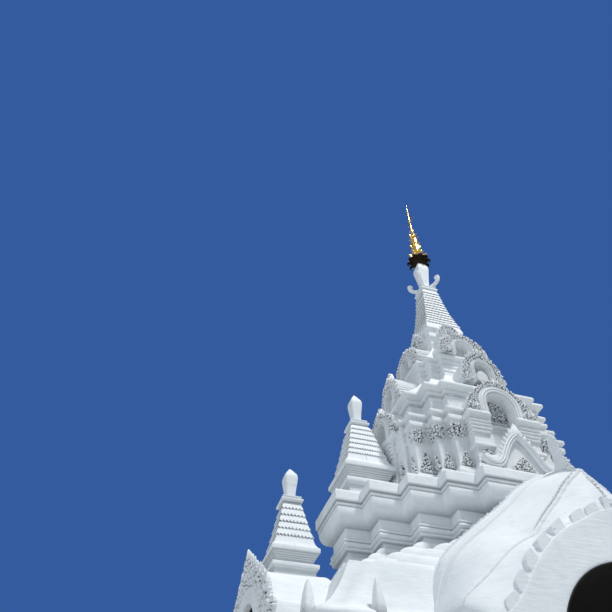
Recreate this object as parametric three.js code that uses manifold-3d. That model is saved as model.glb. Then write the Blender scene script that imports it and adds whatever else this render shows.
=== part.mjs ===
// White stuccoed temple gate tower with a gilded finial, in millimetres, +Z up.
// The origin is the middle of the plinth's underside. The main doorway faces -Y.

import * as THREE from "three";
import { mergeVertices } from "three/addons/utils/BufferGeometryUtils.js";
import Module from "manifold-3d";

const wasm = await Module();
wasm.setup();

// Driving dimensions

const GAP = 0.3;
const OVERSHOOT = 1;

// Facets of the arches and of the turned parts
const PORTAL_STEPS = 20;
const WINDOW_STEPS = 16;
const GABLE_STEPS = 10;
const ANTEFIX_SIDES = 10;
const FINIAL_SIDES = 24;
const SPIKE_SIDES = 12;

const PLINTH_HEIGHT = 300;
const PLINTH_STEP = 150;
const PLINTH_TREAD = 120;
const FLOOR_THICKNESS = 40;

const WALL_THICKNESS = 600;
const HALL_HALF_X = 2700;
const HALL_HALF_Y = 1470;
const ROOM_HALF_X = HALL_HALF_X - WALL_THICKNESS;
const ROOM_HALF_Y = HALL_HALF_Y - WALL_THICKNESS;
const WALL_TOP = 4106;

const DOOR_HALF = 970;
const DOOR_SPRING = 3590;
const PORCH_HALF = 1500;
const PORCH_FRONT = 2350;
const PORCH_GABLE = 2106;
const PORCH_ROOF_FOOT = 3930;
const PORCH_ROOF_LIP = [1590, 4130];

const WING_HALF = 920;
const WING_END = 3075;
const WING_ROOF_BACK = 2275;
const WING_ROOF_DEPTH = 60;
const PEDIMENT_THICKNESS = 90;
const PEDIMENT_FOOT = 4300;
const WINDOW_HALF = 380;
const WINDOW_SILL = 3000;
const WINDOW_SPRING = 4437;

const EAVE_HALF_X = 2800;
const EAVE_HALF_Y = 1570;
const EAVE_TOP = 4205;
const BREAK_HEIGHT = 4837;
const ROOF_CORNER_START = 100;

const COURSE_TOP = 5438;
const CORNICE_TOP = 6216;
const BODY_TOP = 6985;
const LOWER_BAND_TOP = 7150;
const BODY_CORNICE_TOP = 7300;
const SECOND_SLAB_TOP = 7760;
const SECOND_TIER_TOP = 8300;
const THIRD_SLAB_TOP = 8700;
const THIRD_TIER_TOP = 9100;
const FOURTH_TIER_TOP = 9400;
const SPIRE_TOP = 10754;
const COLLAR_TOP = 10905;
const BUD_TOP = 11600;
const HTI_TOP = 12716;
const TOP = 13600;

// Stepped plans: one quarter each, as the outer corners from the X end to the Y end

const PLINTH_PLAN = [
  [3225, 1060],
  [2850, 1625],
  [1650, 2500],
];
const CORNICE_PLAN = [
  [2107, 392],
  [1788, 682],
  [1405, 928],
  [1001, 1116],
  [617, 1320],
];
const BREAK_PLAN = [
  [2320, 640],
  [2290, 871],
  [2190, 1045],
  [2001, 1150],
  [1443, 1210],
];
const BODY_PLAN = [
  [1225, 300],
  [1170, 515],
  [1110, 690],
  [862, 850],
  [680, 963],
  [475, 1080],
];
const SECOND_PLAN = [
  [1012, 540],
  [820, 788],
  [620, 885],
];
const THIRD_PLAN = [
  [605, 290],
  [505, 430],
  [345, 541],
];
const FOURTH_PLAN = [
  [296, 160],
  [290, 290],
  [160, 296],
];

// Profiles: outward offset from the plan and height

const CORNICE_PROFILE = [
  [-200, 5438],
  [-200, 5535],
  [-110, 5554],
  [-80, 5592],
  [-110, 5630],
  [-150, 5650],
  [-150, 5716],
  [-120, 5812],
  [-60, 5898],
  [-30, 5926],
  [-30, 5974],
  [0, 6012],
  [0, 6177],
  [-60, 6216],
];
const BODY_PROFILE = [
  [60, 6216],
  [60, 6300],
  [30, 6330],
  [30, 6362],
  [0, 6388],
  [0, 6900],
  [20, 6920],
  [20, 6985],
];
const LOWER_BAND_PROFILE = [
  [20, 6985],
  [20, 7060],
  [45, 7085],
  [45, 7150],
];
const UPPER_BAND_PROFILE = [
  [20, 7140],
  [20, 7195],
  [65, 7215],
  [65, 7262],
  [20, 7290],
  [-20, 7300],
];
const SECOND_PROFILE = [
  [0, 7300],
  [0, 7600],
  [30, 7625],
  [30, 7650],
  [15, 7660],
  [60, 7690],
  [95, 7703],
  [95, SECOND_SLAB_TOP],
];
const THIRD_PROFILE = [
  [0, 8300],
  [0, 8560],
  [25, 8585],
  [25, 8605],
  [10, 8612],
  [60, 8640],
  [60, THIRD_SLAB_TOP],
];
const FOURTH_PROFILE = [
  [0, 9100],
  [0, 9290],
  [12, 9305],
  [36, 9330],
  [36, 9385],
  [10, 9400],
];

// Hollow curve of a tier's roof: share of the way in to the next wall, and share of the rise
const ROOF_CURVE = [
  [0.25, 0.17],
  [0.5, 0.4],
  [0.75, 0.68],
  [1, 1],
];

// Lower roof: half widths along X and Y, and height
const SKIRT_RINGS = [
  [EAVE_HALF_X - 60, EAVE_HALF_Y - 60, WALL_TOP],
  [EAVE_HALF_X, EAVE_HALF_Y, 4146],
  [EAVE_HALF_X, EAVE_HALF_Y, EAVE_TOP],
  [2590, 1401, 4363],
  [2449, 1301, 4580],
  [2335, 1228, BREAK_HEIGHT],
];

// Bud antefixes on the eave: radius and height, and where they stand
const ANTEFIX_PROFILE = [
  [0, 4170],
  [46, 4170],
  [46, 4215],
  [66, 4250],
  [78, 4310],
  [70, 4370],
  [44, 4430],
  [12, 4490],
  [0, 4510],
];
const FRONT_ANTEFIX = [2176, 1516];
const SIDE_ANTEFIX = [2775, 1331];

// Courses between the lower roof and the cornice
const COURSE_STEPS = 5;
const COURSE_BATTER = 0.65;
const COURSE_INSET = 200;

// Half widths of the four-sided roofs and finials

const SPIRE_PROFILE = [
  [290, 9400],
  [290, 9500],
  [325, 9545],
  [325, 9590],
  [320, 9617],
  [296, 9700],
  [262, 9840],
  [224, 10028],
  [193, 10228],
  [167, 10428],
  [148, 10606],
  [135, 10754],
];
const COLLAR_PROFILE = [
  [118, 10754],
  [152, 10772],
  [152, 10808],
  [122, 10826],
  [137, 10840],
  [137, 10868],
  [104, 10905],
];
const BUD_PROFILE = [
  [70, 10905],
  [78, 11050],
  [96, 11240],
  [112, 11410],
  [106, 11480],
  [58, 11600],
];

// Gilded finial: radius and height
const HTI_PROFILE = [
  [0, 11600],
  [150, 11600],
  [165, 11630],
  [165, 11660],
  [120, 11700],
  [112, 11790],
  [132, 11814],
  [132, 11844],
  [92, 11885],
  [86, 11980],
  [106, 12004],
  [106, 12030],
  [72, 12075],
  [66, 12170],
  [84, 12191],
  [84, 12215],
  [54, 12253],
  [48, 12360],
  [64, 12379],
  [64, 12400],
  [38, 12436],
  [34, 12550],
  [46, 12569],
  [46, 12588],
  [26, 12621],
  [20, HTI_TOP],
  [0, HTI_TOP],
];
const SPIKE_PROFILE = [
  [0, HTI_TOP],
  [16, HTI_TOP],
  [12, 12972],
  [26, 13007],
  [26, 13030],
  [10, 13065],
  [8, 13274],
  [16, 13309],
  [8, 13344],
  [2, TOP],
  [0, TOP],
];

// A turret's profile from its foot: half width and height, for an eave 300 out and 430 up
const TURRET_EAVE_HALF = 300;
const TURRET_EAVE_HEIGHT = 430;
const TURRET_TIP_HEIGHT = 1950;
const TURRET_PROFILE = [
  [250, 0],
  [250, 150],
  [285, 175],
  [285, 225],
  [255, 245],
  [255, 300],
  [270, 360],
  [300, 430],
  [300, 470],
  [262, 510],
  [235, 600],
  [205, 740],
  [175, 900],
  [150, 1060],
  [120, 1220],
  [88, 1290],
  [100, 1305],
  [100, 1335],
  [80, 1350],
  [90, 1365],
  [90, 1385],
  [48, 1400],
  [52, 1500],
  [66, 1640],
  [71, 1740],
  [66, 1800],
  [4, 1950],
];
const CORNICE_TURRET = { x: 1583, eaveHalf: 341, pedestal: 428, roof: 1414, foot: CORNICE_TOP };
const WING_TURRET = { x: 2556, eaveHalf: 281, pedestal: 345, roof: 1204, foot: 5070 };

// Porch and wing outlines, half of each, from the middle outwards: distance and height

const PORTAL_OUTLINE = [
  [0, 5115],
  [70, 5090],
  [190, 5052],
  [320, 4978],
  [634, 4815],
  [818, 4665],
  [1001, 4480],
  [1164, 4253],
  [1311, 4061],
  [1411, 3967],
  [PORCH_HALF, 3920],
];
const GABLE_OUTLINE = [
  [0, 5690],
  [98, 5596],
  [222, 5490],
  [402, 5263],
  [554, 5110],
  [704, 4934],
  [768, 4852],
  [875, 4789],
  [1034, 4703],
  [1214, 4541],
  [1371, 4383],
  [1609, 4203],
];
const WING_OUTLINE = [
  [0, 5082],
  [120, 5062],
  [324, 4994],
  [560, 4820],
  [760, 4580],
  [WING_HALF, 4400],
];
const PEDIMENT_OUTLINE = [
  [0, 5417],
  [120, 5291],
  [330, 5145],
  [525, 5005],
  [665, 4884],
  [825, 4718],
  [885, 4560],
  [1005, 4481],
  [1050, 4363],
];

// The porch roof's outline where it meets the cornice, and how far the outline has changed on the way:
// distance from the middle, and share of the change
const GABLE_REAR_OUTLINE = [
  [0, 6095],
  [130, 6005],
  [300, 5875],
  [450, 5725],
  [600, 5583],
  [780, 5445],
  [980, 5280],
  [1150, 5140],
  [1300, 5000],
  [1411, 4872],
  [1500, 4640],
  [1590, 4374],
];
const PORCH_SWEEP = [
  [PORCH_GABLE, 0],
  [1817, 0.49],
  [1470, 0.85],
  [1340, 1],
  [1080, 1],
];

// Arched gables: half width, foot and rise; the opening's half width, sill and springing; planes
const BODY_GABLE = {
  half: 465,
  foot: LOWER_BAND_TOP - 5,
  rise: 535,
  open: 185,
  sill: LOWER_BAND_TOP,
  spring: 7340,
  front: 1125,
  side: 1240,
  back: 880,
  sideBack: 1000,
};
const SECOND_GABLE = {
  half: 340,
  foot: SECOND_SLAB_TOP - 5,
  rise: 665,
  open: 140,
  sill: 7874,
  spring: 8100,
  front: 955,
  side: 1015,
  back: 520,
  sideBack: 580,
};
const THIRD_GABLE = {
  half: 380,
  foot: THIRD_SLAB_TOP - 5,
  rise: 395,
  open: 140,
  sill: THIRD_SLAB_TOP,
  spring: 8820,
  front: 640,
  side: 655,
  back: 250,
  sideBack: 250,
};
const GABLE_RECESS = 150;

// Outline of a gable: shares of its half width and of its rise
const GABLE_SHAPE = [
  [0, 1],
  [0.14, 0.97],
  [0.4, 0.9],
  [0.62, 0.79],
  [0.78, 0.64],
  [0.84, 0.49],
  [0.88, 0.35],
  [1.02, 0.22],
  [1, 0.07],
  [0.62, 0],
];

// Recess that runs down the middle of the front and back below the lowest gable
const CENTRE_RECESS = { half: 185, inner: 930, foot: 6600 };

// Pierced crests around the spire's foot
const CREST = {
  half: 150,
  foot: 9230,
  top: 9520,
  hole: 48,
  holeHeight: 9403,
  holeDepth: 60,
  front: 408,
  back: 285,
};
const CREST_SHAPE = [
  [0, 1],
  [0.3, 0.9],
  [0.72, 0.66],
  [1, 0.42],
  [0.9, 0.12],
  [0.6, 0],
];

// Naga frame of the niche on the cornice, half of each edge from the middle outwards
const NICHE_FRONT = 1300;
const NICHE_PANEL = 1240;
const NICHE_BACK = 1180;
const NICHE_OUTER = [
  [0, 6870],
  [50, 6780],
  [170, 6665],
  [295, 6490],
  [370, 6350],
  [440, 6285],
  [560, 6300],
  [530, CORNICE_TOP],
];
const NICHE_INNER = [
  [0, 6690],
  [57, 6626],
  [116, 6510],
  [199, 6308],
  [225, CORNICE_TOP],
];

// Colours

const stucco = new THREE.MeshStandardMaterial({
  color: 0xf1f3f5,
  roughness: 0.85,
  metalness: 0,
});
const paving = new THREE.MeshStandardMaterial({
  color: 0xb9b4aa,
  roughness: 0.9,
  metalness: 0,
});
const gilding = new THREE.MeshStandardMaterial({
  color: 0xd9a336,
  roughness: 0.35,
  metalness: 1,
});

// Geometry helpers

function solid(geometry) {
  const bare = geometry.clone();
  bare.deleteAttribute("normal");
  bare.deleteAttribute("uv");
  const merged = mergeVertices(bare, 1e-3);
  return new wasm.Manifold(
    new wasm.Mesh({
      numProp: 3,
      vertProperties: new Float32Array(merged.attributes.position.array),
      triVerts: new Uint32Array(merged.index.array),
    }),
  );
}

function fromSolid(body) {
  const mesh = body.getMesh();
  const geometry = new THREE.BufferGeometry();
  geometry.setAttribute("position", new THREE.BufferAttribute(mesh.vertProperties, 3));
  geometry.setIndex(new THREE.BufferAttribute(mesh.triVerts, 1));
  return geometry;
}

function fromArrays(positions, indices) {
  const geometry = new THREE.BufferGeometry();
  geometry.setAttribute("position", new THREE.Float32BufferAttribute(positions, 3));
  geometry.setIndex(indices);
  return geometry;
}

// The full ring of a stepped plan, counter-clockwise, moved outwards by an offset.
function planRing(plan, offset) {
  const quarter = [];
  for (let i = 0; i < plan.length; i += 1) {
    quarter.push([plan[i][0] + offset, plan[i][1] + offset]);
    if (i + 1 < plan.length) {
      quarter.push([plan[i + 1][0] + offset, plan[i][1] + offset]);
    }
  }
  const back = [...quarter].reverse();
  return [
    ...quarter,
    ...back.map(([x, y]) => [-x, y]),
    ...quarter.map(([x, y]) => [-x, -y]),
    ...back.map(([x, y]) => [x, -y]),
  ];
}

function squareRing(half) {
  return [
    [half, half],
    [-half, half],
    [-half, -half],
    [half, -half],
  ];
}

// A closed body through rings of equal count, each with its height; the ends are fans about the middle.
function loft(rings, heights) {
  const count = rings[0].length;
  const positions = [];
  const indices = [];
  rings.forEach((ring, level) => {
    ring.forEach(([x, y]) => positions.push(x, y, heights[level]));
  });
  const bottom = rings.length * count;
  const top = bottom + 1;
  const middle = (ring) => [
    ring.reduce((sum, p) => sum + p[0], 0) / count,
    ring.reduce((sum, p) => sum + p[1], 0) / count,
  ];
  const low = middle(rings[0]);
  const high = middle(rings[rings.length - 1]);
  positions.push(low[0], low[1], heights[0]);
  positions.push(high[0], high[1], heights[heights.length - 1]);
  for (let level = 0; level + 1 < rings.length; level += 1) {
    for (let i = 0; i < count; i += 1) {
      const a = level * count + i;
      const b = level * count + ((i + 1) % count);
      indices.push(a, b, b + count);
      indices.push(a, b + count, a + count);
    }
  }
  const last = (rings.length - 1) * count;
  for (let i = 0; i < count; i += 1) {
    const next = (i + 1) % count;
    indices.push(bottom, next, i);
    indices.push(top, last + i, last + next);
  }
  return fromArrays(positions, indices);
}

function planLoft(plan, profile) {
  return loft(
    profile.map(([offset]) => planRing(plan, offset)),
    profile.map(([, z]) => z),
  );
}

function squareLoft(profile) {
  return loft(
    profile.map(([half]) => squareRing(half)),
    profile.map(([, z]) => z),
  );
}

function box(x0, x1, y0, y1, z0, z1) {
  return new THREE.BoxGeometry(x1 - x0, y1 - y0, z1 - z0).translate(
    (x0 + x1) / 2,
    (y0 + y1) / 2,
    (z0 + z1) / 2,
  );
}

// An outline in X and Z, drawn out along Y from y0 to y1.
function alongY(outline, y0, y1) {
  const shape = new THREE.Shape(outline.map(([x, z]) => new THREE.Vector2(x, z)));
  return new THREE.ExtrudeGeometry(shape, { depth: y1 - y0, bevelEnabled: false })
    .rotateX(Math.PI / 2)
    .translate(0, y1, 0);
}

// The same outline in Y and Z, drawn out along X from x0 to x1.
function alongX(outline, x0, x1) {
  const drawn = alongY(outline, x0, x1);
  const p = drawn.attributes.position;
  for (let i = 0; i < p.count; i += 1) {
    p.setXYZ(i, p.getY(i), -p.getX(i), p.getZ(i));
  }
  return drawn;
}

function bothSides(half) {
  return [...half.slice(1).reverse().map(([x, z]) => [-x, z]), ...half];
}

// The geometry reflected in the planes X = 0 and Y = 0 as asked, with its faces kept outwards.
function mirrored(geometry, signX, signY) {
  const source = geometry.index ? geometry : mergeVertices(geometry);
  const copy = source.clone();
  copy.deleteAttribute("normal");
  copy.deleteAttribute("uv");
  const p = copy.attributes.position;
  for (let i = 0; i < p.count; i += 1) {
    p.setXYZ(i, p.getX(i) * signX, p.getY(i) * signY, p.getZ(i));
  }
  if (signX * signY < 0) {
    const index = copy.index.array;
    for (let i = 0; i < index.length; i += 3) {
      const held = index[i + 1];
      index[i + 1] = index[i + 2];
      index[i + 2] = held;
    }
  }
  return copy;
}

const temple = new THREE.Group();

function add(name, geometry, material) {
  const bare = geometry.clone();
  bare.deleteAttribute("normal");
  bare.deleteAttribute("uv");
  bare.computeVertexNormals();
  const mesh = new THREE.Mesh(bare, material);
  mesh.name = name;
  temple.add(mesh);
}

const QUARTERS = [
  ["front_left", -1, -1],
  ["front_right", 1, -1],
  ["back_left", -1, 1],
  ["back_right", 1, 1],
];

// Plinth and floor

add(
  "plinth",
  planLoft(PLINTH_PLAN, [
    [PLINTH_TREAD, 0],
    [PLINTH_TREAD, PLINTH_STEP],
    [0, PLINTH_STEP],
    [0, PLINTH_HEIGHT],
  ]),
  stucco,
);
const floorBody = solid(
  box(-ROOM_HALF_X, ROOM_HALF_X, -ROOM_HALF_Y, ROOM_HALF_Y, PLINTH_HEIGHT, PLINTH_HEIGHT + FLOOR_THICKNESS),
).add(
  solid(box(-DOOR_HALF, DOOR_HALF, -PORCH_FRONT, PORCH_FRONT, PLINTH_HEIGHT, PLINTH_HEIGHT + FLOOR_THICKNESS)),
);
add("floor", fromSolid(floorBody), paving);

// Walls

for (const [place, sx, sy] of QUARTERS) {
  const porchSide = box(DOOR_HALF, PORCH_HALF, ROOM_HALF_Y, PORCH_FRONT, PLINTH_HEIGHT, DOOR_SPRING);
  add("porch_side_wall_" + place, mirrored(porchSide, sx, sy), stucco);
  const hallWall = box(PORCH_HALF, ROOM_HALF_X, ROOM_HALF_Y, HALL_HALF_Y, PLINTH_HEIGHT, WALL_TOP);
  add("hall_wall_" + place, mirrored(hallWall, sx, sy), stucco);
  const jambPlan = [
    [ROOM_HALF_X, WINDOW_HALF],
    [WING_END, WINDOW_HALF],
    [WING_END, WING_HALF],
    [HALL_HALF_X, WING_HALF],
    [HALL_HALF_X, HALL_HALF_Y],
    [ROOM_HALF_X, HALL_HALF_Y],
  ];
  const jamb = new THREE.ExtrudeGeometry(
    new THREE.Shape(jambPlan.map(([x, y]) => new THREE.Vector2(x, y))),
    { depth: WALL_TOP - WINDOW_SILL, bevelEnabled: false },
  ).translate(0, 0, WINDOW_SILL);
  add("window_jamb_" + place, mirrored(mergeVertices(strip(jamb)), sx, sy), stucco);
}

function strip(geometry) {
  geometry.deleteAttribute("normal");
  geometry.deleteAttribute("uv");
  return geometry;
}

for (const [place, sx] of [
  ["left", -1],
  ["right", 1],
]) {
  const endPlan = [
    [ROOM_HALF_X, -HALL_HALF_Y],
    [HALL_HALF_X, -HALL_HALF_Y],
    [HALL_HALF_X, -WING_HALF],
    [WING_END, -WING_HALF],
    [WING_END, WING_HALF],
    [HALL_HALF_X, WING_HALF],
    [HALL_HALF_X, HALL_HALF_Y],
    [ROOM_HALF_X, HALL_HALF_Y],
  ];
  const endWall = new THREE.ExtrudeGeometry(
    new THREE.Shape(endPlan.map(([x, y]) => new THREE.Vector2(x, y))),
    { depth: WINDOW_SILL - PLINTH_HEIGHT, bevelEnabled: false },
  ).translate(0, 0, PLINTH_HEIGHT);
  add("end_wall_" + place, mirrored(mergeVertices(strip(endWall)), sx, 1), stucco);
}

// Stepped courses and great cornice

function courseRing(share) {
  return planRing(
    BREAK_PLAN.map(([x, y], i) => [
      x + (CORNICE_PLAN[i][0] - COURSE_INSET - x) * share,
      y + (CORNICE_PLAN[i][1] - COURSE_INSET - y) * share,
    ]),
    0,
  );
}

const courseRings = [];
const courseHeights = [];
for (let step = 0; step < COURSE_STEPS; step += 1) {
  const height = (COURSE_TOP - BREAK_HEIGHT) / COURSE_STEPS;
  courseRings.push(courseRing(step / COURSE_STEPS));
  courseHeights.push(BREAK_HEIGHT + height * step);
  courseRings.push(courseRing((step + COURSE_BATTER) / COURSE_STEPS));
  courseHeights.push(BREAK_HEIGHT + height * (step + 1));
}
const courses = solid(loft(courseRings, courseHeights));
const cornice = solid(planLoft(CORNICE_PLAN, CORNICE_PROFILE));
const coursesKeep = solid(
  loft(
    courseRings.map((ring) => ring.map(([x, y]) => [x + Math.sign(x) * GAP, y + Math.sign(y) * GAP])),
    courseHeights.map((z, i) => (i === 0 ? z : z + GAP)),
  ),
);
const corniceKeep = solid(planLoft(CORNICE_PLAN, widened(CORNICE_PROFILE)));
add("courses", fromSolid(courses), stucco);
add("great_cornice", fromSolid(cornice), stucco);

function widened(profile) {
  return profile.map(([offset, z]) => [offset + GAP, z]);
}

// Arched portals, each with its round vault

function archOutline(half, spring, steps) {
  const points = [];
  for (let i = 0; i <= steps; i += 1) {
    const turn = (Math.PI * i) / steps;
    points.push([half * Math.cos(turn), spring + half * Math.sin(turn)]);
  }
  return points;
}

const portalOutline = [
  [-PORCH_HALF, DOOR_SPRING],
  ...bothSides(PORTAL_OUTLINE),
  [PORCH_HALF, DOOR_SPRING],
  ...archOutline(DOOR_HALF, DOOR_SPRING, PORTAL_STEPS),
];
const portal = fromSolid(
  solid(alongY(portalOutline, -PORCH_FRONT, -ROOM_HALF_Y)).subtract(coursesKeep),
);
add("porch_arch_front", portal, stucco);
add("porch_arch_back", mirrored(portal, 1, -1), stucco);

const windowOutline = [
  [WINDOW_HALF, WALL_TOP],
  ...archOutline(WINDOW_HALF, WINDOW_SPRING, WINDOW_STEPS),
  [-WINDOW_HALF, WALL_TOP],
];
const wingOutline = [
  [-WING_HALF, WALL_TOP],
  ...bothSides(WING_OUTLINE),
  [WING_HALF, WALL_TOP],
  ...windowOutline,
];
const pedimentOutline = [
  [-WING_HALF, WALL_TOP],
  [-WING_HALF, PEDIMENT_FOOT],
  ...bothSides(PEDIMENT_OUTLINE),
  [WING_HALF, PEDIMENT_FOOT],
  [WING_HALF, WALL_TOP],
  ...windowOutline,
];
const wingArch = fromSolid(
  solid(alongX(wingOutline, ROOM_HALF_X, WING_END))
    .add(solid(alongX(pedimentOutline, WING_END - PEDIMENT_THICKNESS, WING_END)))
    .subtract(coursesKeep),
);
add("wing_arch_right", wingArch, stucco);
add("wing_arch_left", mirrored(wingArch, -1, 1), stucco);

// Steep lower roof, in four corners, with bud antefixes on its eave

function rectangleRing(halfX, halfY) {
  return [
    [halfX, halfY],
    [-halfX, halfY],
    [-halfX, -halfY],
    [halfX, -halfY],
  ];
}

function skirtOuter(grow) {
  return loft(
    SKIRT_RINGS.map(([halfX, halfY]) => rectangleRing(halfX + grow, halfY + grow)),
    SKIRT_RINGS.map(([, , z]) => z),
  );
}

// The portal's and the wing's outlines as plain blocks, for cutting their neighbours clear of them.
function grownBlock(outline, half, grow) {
  return [
    [-half - grow, DOOR_SPRING],
    ...bothSides(outline.map(([d, z]) => [d === 0 ? 0 : d + grow, z + grow])),
    [half + grow, DOOR_SPRING],
  ];
}

const portalKeep = solid(
  alongY(grownBlock(PORTAL_OUTLINE, PORCH_HALF, GAP), -PORCH_FRONT - OVERSHOOT, -ROOM_HALF_Y + GAP),
);
const wingKeep = solid(
  alongX(grownBlock(WING_OUTLINE, WING_HALF, GAP), ROOM_HALF_X - GAP, WING_END + OVERSHOOT),
);

function lathe(profile, sides) {
  return new THREE.LatheGeometry(
    profile.map(([r, z]) => new THREE.Vector2(r, z)),
    sides,
  ).rotateX(Math.PI / 2);
}

const antefix = solid(lathe(ANTEFIX_PROFILE, ANTEFIX_SIDES));
const skirtCorner = solid(skirtOuter(0))
  .intersect(
    solid(box(ROOF_CORNER_START, EAVE_HALF_X + GAP, ROOF_CORNER_START, EAVE_HALF_Y + GAP, WALL_TOP, COURSE_TOP)),
  )
  .subtract(solid(box(-ROOM_HALF_X, ROOM_HALF_X, -ROOM_HALF_Y, ROOM_HALF_Y, DOOR_SPRING, COURSE_TOP)))
  .add(antefix.translate([...FRONT_ANTEFIX, 0]))
  .add(antefix.translate([...SIDE_ANTEFIX, 0]))
  .subtract(portalKeep.mirror([0, 1, 0]))
  .subtract(wingKeep);
const skirtGeometry = fromSolid(skirtCorner);
for (const [place, sx, sy] of QUARTERS) {
  add("skirt_roof_" + place, mirrored(skirtGeometry, sx, sy), stucco);
}

// Porch roofs, swept up towards the tower

function gableRing(share) {
  const half = GABLE_OUTLINE.map(([x, z], i) => [
    x + (GABLE_REAR_OUTLINE[i][0] - x) * share,
    z + (GABLE_REAR_OUTLINE[i][1] - z) * share,
  ]);
  const [lipX, lipZ] = PORCH_ROOF_LIP;
  return [
    [-PORCH_HALF, PORCH_ROOF_FOOT],
    [-lipX, lipZ],
    ...bothSides(half),
    [lipX, lipZ],
    [PORCH_HALF, PORCH_ROOF_FOOT],
  ];
}

function ringsAlongY(sections, places) {
  const turned = loft(sections, places);
  const p = turned.attributes.position;
  for (let i = 0; i < p.count; i += 1) {
    p.setXYZ(i, p.getX(i), p.getZ(i), p.getY(i));
  }
  return turned;
}

const hallWallKeep = solid(
  box(PORCH_HALF - GAP, HALL_HALF_X, -HALL_HALF_Y - GAP, 0, DOOR_SPRING, WALL_TOP + GAP),
);
const porchRoof = solid(
  ringsAlongY(
    PORCH_SWEEP.map(([, share]) => gableRing(share)),
    PORCH_SWEEP.map(([y]) => -y),
  ),
)
  .subtract(portalKeep)
  .subtract(solid(skirtOuter(GAP)))
  .subtract(hallWallKeep)
  .subtract(hallWallKeep.mirror([1, 0, 0]))
  .subtract(coursesKeep)
  .subtract(corniceKeep);
const porchRoofGeometry = fromSolid(porchRoof);
add("porch_roof_front", porchRoofGeometry, stucco);
add("porch_roof_back", mirrored(porchRoofGeometry, 1, -1), stucco);

function wingRoofOutline(lift) {
  const half = WING_OUTLINE.map(([d, z]) => [d === 0 ? 0 : d + WING_ROOF_DEPTH, z + WING_ROOF_DEPTH + lift]);
  const foot = WING_HALF + WING_ROOF_DEPTH;
  return [[-foot, PEDIMENT_FOOT], ...bothSides(half), [foot, PEDIMENT_FOOT]];
}

const wingRoof = fromSolid(
  solid(alongX(wingRoofOutline(0), WING_ROOF_BACK, WING_END - PEDIMENT_THICKNESS))
    .subtract(wingKeep)
    .subtract(solid(skirtOuter(GAP)))
    .subtract(coursesKeep),
);
add("wing_roof_right", wingRoof, stucco);
add("wing_roof_left", mirrored(wingRoof, -1, 1), stucco);

// Turrets

function turret({ x, eaveHalf, pedestal, roof, foot }) {
  const wide = eaveHalf / TURRET_EAVE_HALF;
  const steep = roof / (TURRET_TIP_HEIGHT - TURRET_EAVE_HEIGHT);
  const height = (z) =>
    z <= TURRET_EAVE_HEIGHT
      ? (z * pedestal) / TURRET_EAVE_HEIGHT
      : pedestal + (z - TURRET_EAVE_HEIGHT) * steep;
  return squareLoft(TURRET_PROFILE.map(([half, z]) => [half * wide, foot + height(z)])).translate(x, 0, 0);
}

const corniceTurret = turret(CORNICE_TURRET);
add("cornice_turret_right", corniceTurret, stucco);
add("cornice_turret_left", mirrored(corniceTurret, -1, 1), stucco);
const wingTurret = fromSolid(
  solid(turret(WING_TURRET)).subtract(solid(alongX(wingRoofOutline(GAP), WING_ROOF_BACK - OVERSHOOT, WING_END))),
);
add("wing_turret_right", wingTurret, stucco);
add("wing_turret_left", mirrored(wingTurret, -1, 1), stucco);

// Niche frames on the cornice

const nichePanel = bothSides(NICHE_OUTER);
const nicheBorder = [...bothSides(NICHE_OUTER), ...bothSides(NICHE_INNER).reverse()];
const niche = fromSolid(
  solid(alongY(nichePanel, -NICHE_PANEL, -NICHE_BACK)).add(
    solid(alongY(nicheBorder, -NICHE_FRONT, -NICHE_PANEL + OVERSHOOT)),
  ),
);
add("niche_frame_front", niche, stucco);
add("niche_frame_back", mirrored(niche, 1, -1), stucco);

// Storeys and tiers, each with its arched gables on four sides

function fourSides(front, right) {
  return [front, front.mirror([0, 1, 0]), right, right.mirror([1, 0, 0])];
}

function withGables(body, gable, above) {
  const outline = bothSides(GABLE_SHAPE.map(([x, z]) => [x * gable.half, gable.foot + z * gable.rise]));
  const opening = [
    [-gable.open, gable.sill],
    [gable.open, gable.sill],
    ...archOutline(gable.open, gable.spring, GABLE_STEPS),
  ];
  const gables = fourSides(
    solid(alongY(outline, -gable.front, -gable.back)),
    solid(alongX(outline, gable.sideBack, gable.side)),
  );
  const openings = fourSides(
    solid(alongY(opening, -gable.front - OVERSHOOT, -gable.front + GABLE_RECESS)),
    solid(alongX(opening, gable.side - GABLE_RECESS, gable.side + OVERSHOOT)),
  );
  const joined = gables.reduce((whole, piece) => whole.add(piece), body);
  const cut = openings.reduce((whole, piece) => whole.subtract(piece), joined);
  return cut.subtract(above);
}

function tier(plan, profile, nextPlan, top) {
  const [edge, low] = profile[profile.length - 1];
  const roof = ROOF_CURVE.map(([way, up]) => [
    planRing(
      plan.map(([x, y], i) => [
        x + edge + (nextPlan[i][0] - x - edge) * way,
        y + edge + (nextPlan[i][1] - y - edge) * way,
      ]),
      0,
    ),
    low + (top - low) * up,
  ]);
  return solid(
    loft(
      [...profile.map(([offset]) => planRing(plan, offset)), ...roof.map(([ring]) => ring)],
      [...profile.map(([, z]) => z), ...roof.map(([, z]) => z)],
    ),
  );
}

const secondKeep = solid(planLoft(SECOND_PLAN, widened(SECOND_PROFILE)));
const thirdKeep = solid(planLoft(THIRD_PLAN, widened(THIRD_PROFILE)));
const fourthKeep = solid(planLoft(FOURTH_PLAN, widened(FOURTH_PROFILE)));
const spireKeep = solid(squareLoft(widened(SPIRE_PROFILE)));

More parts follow.
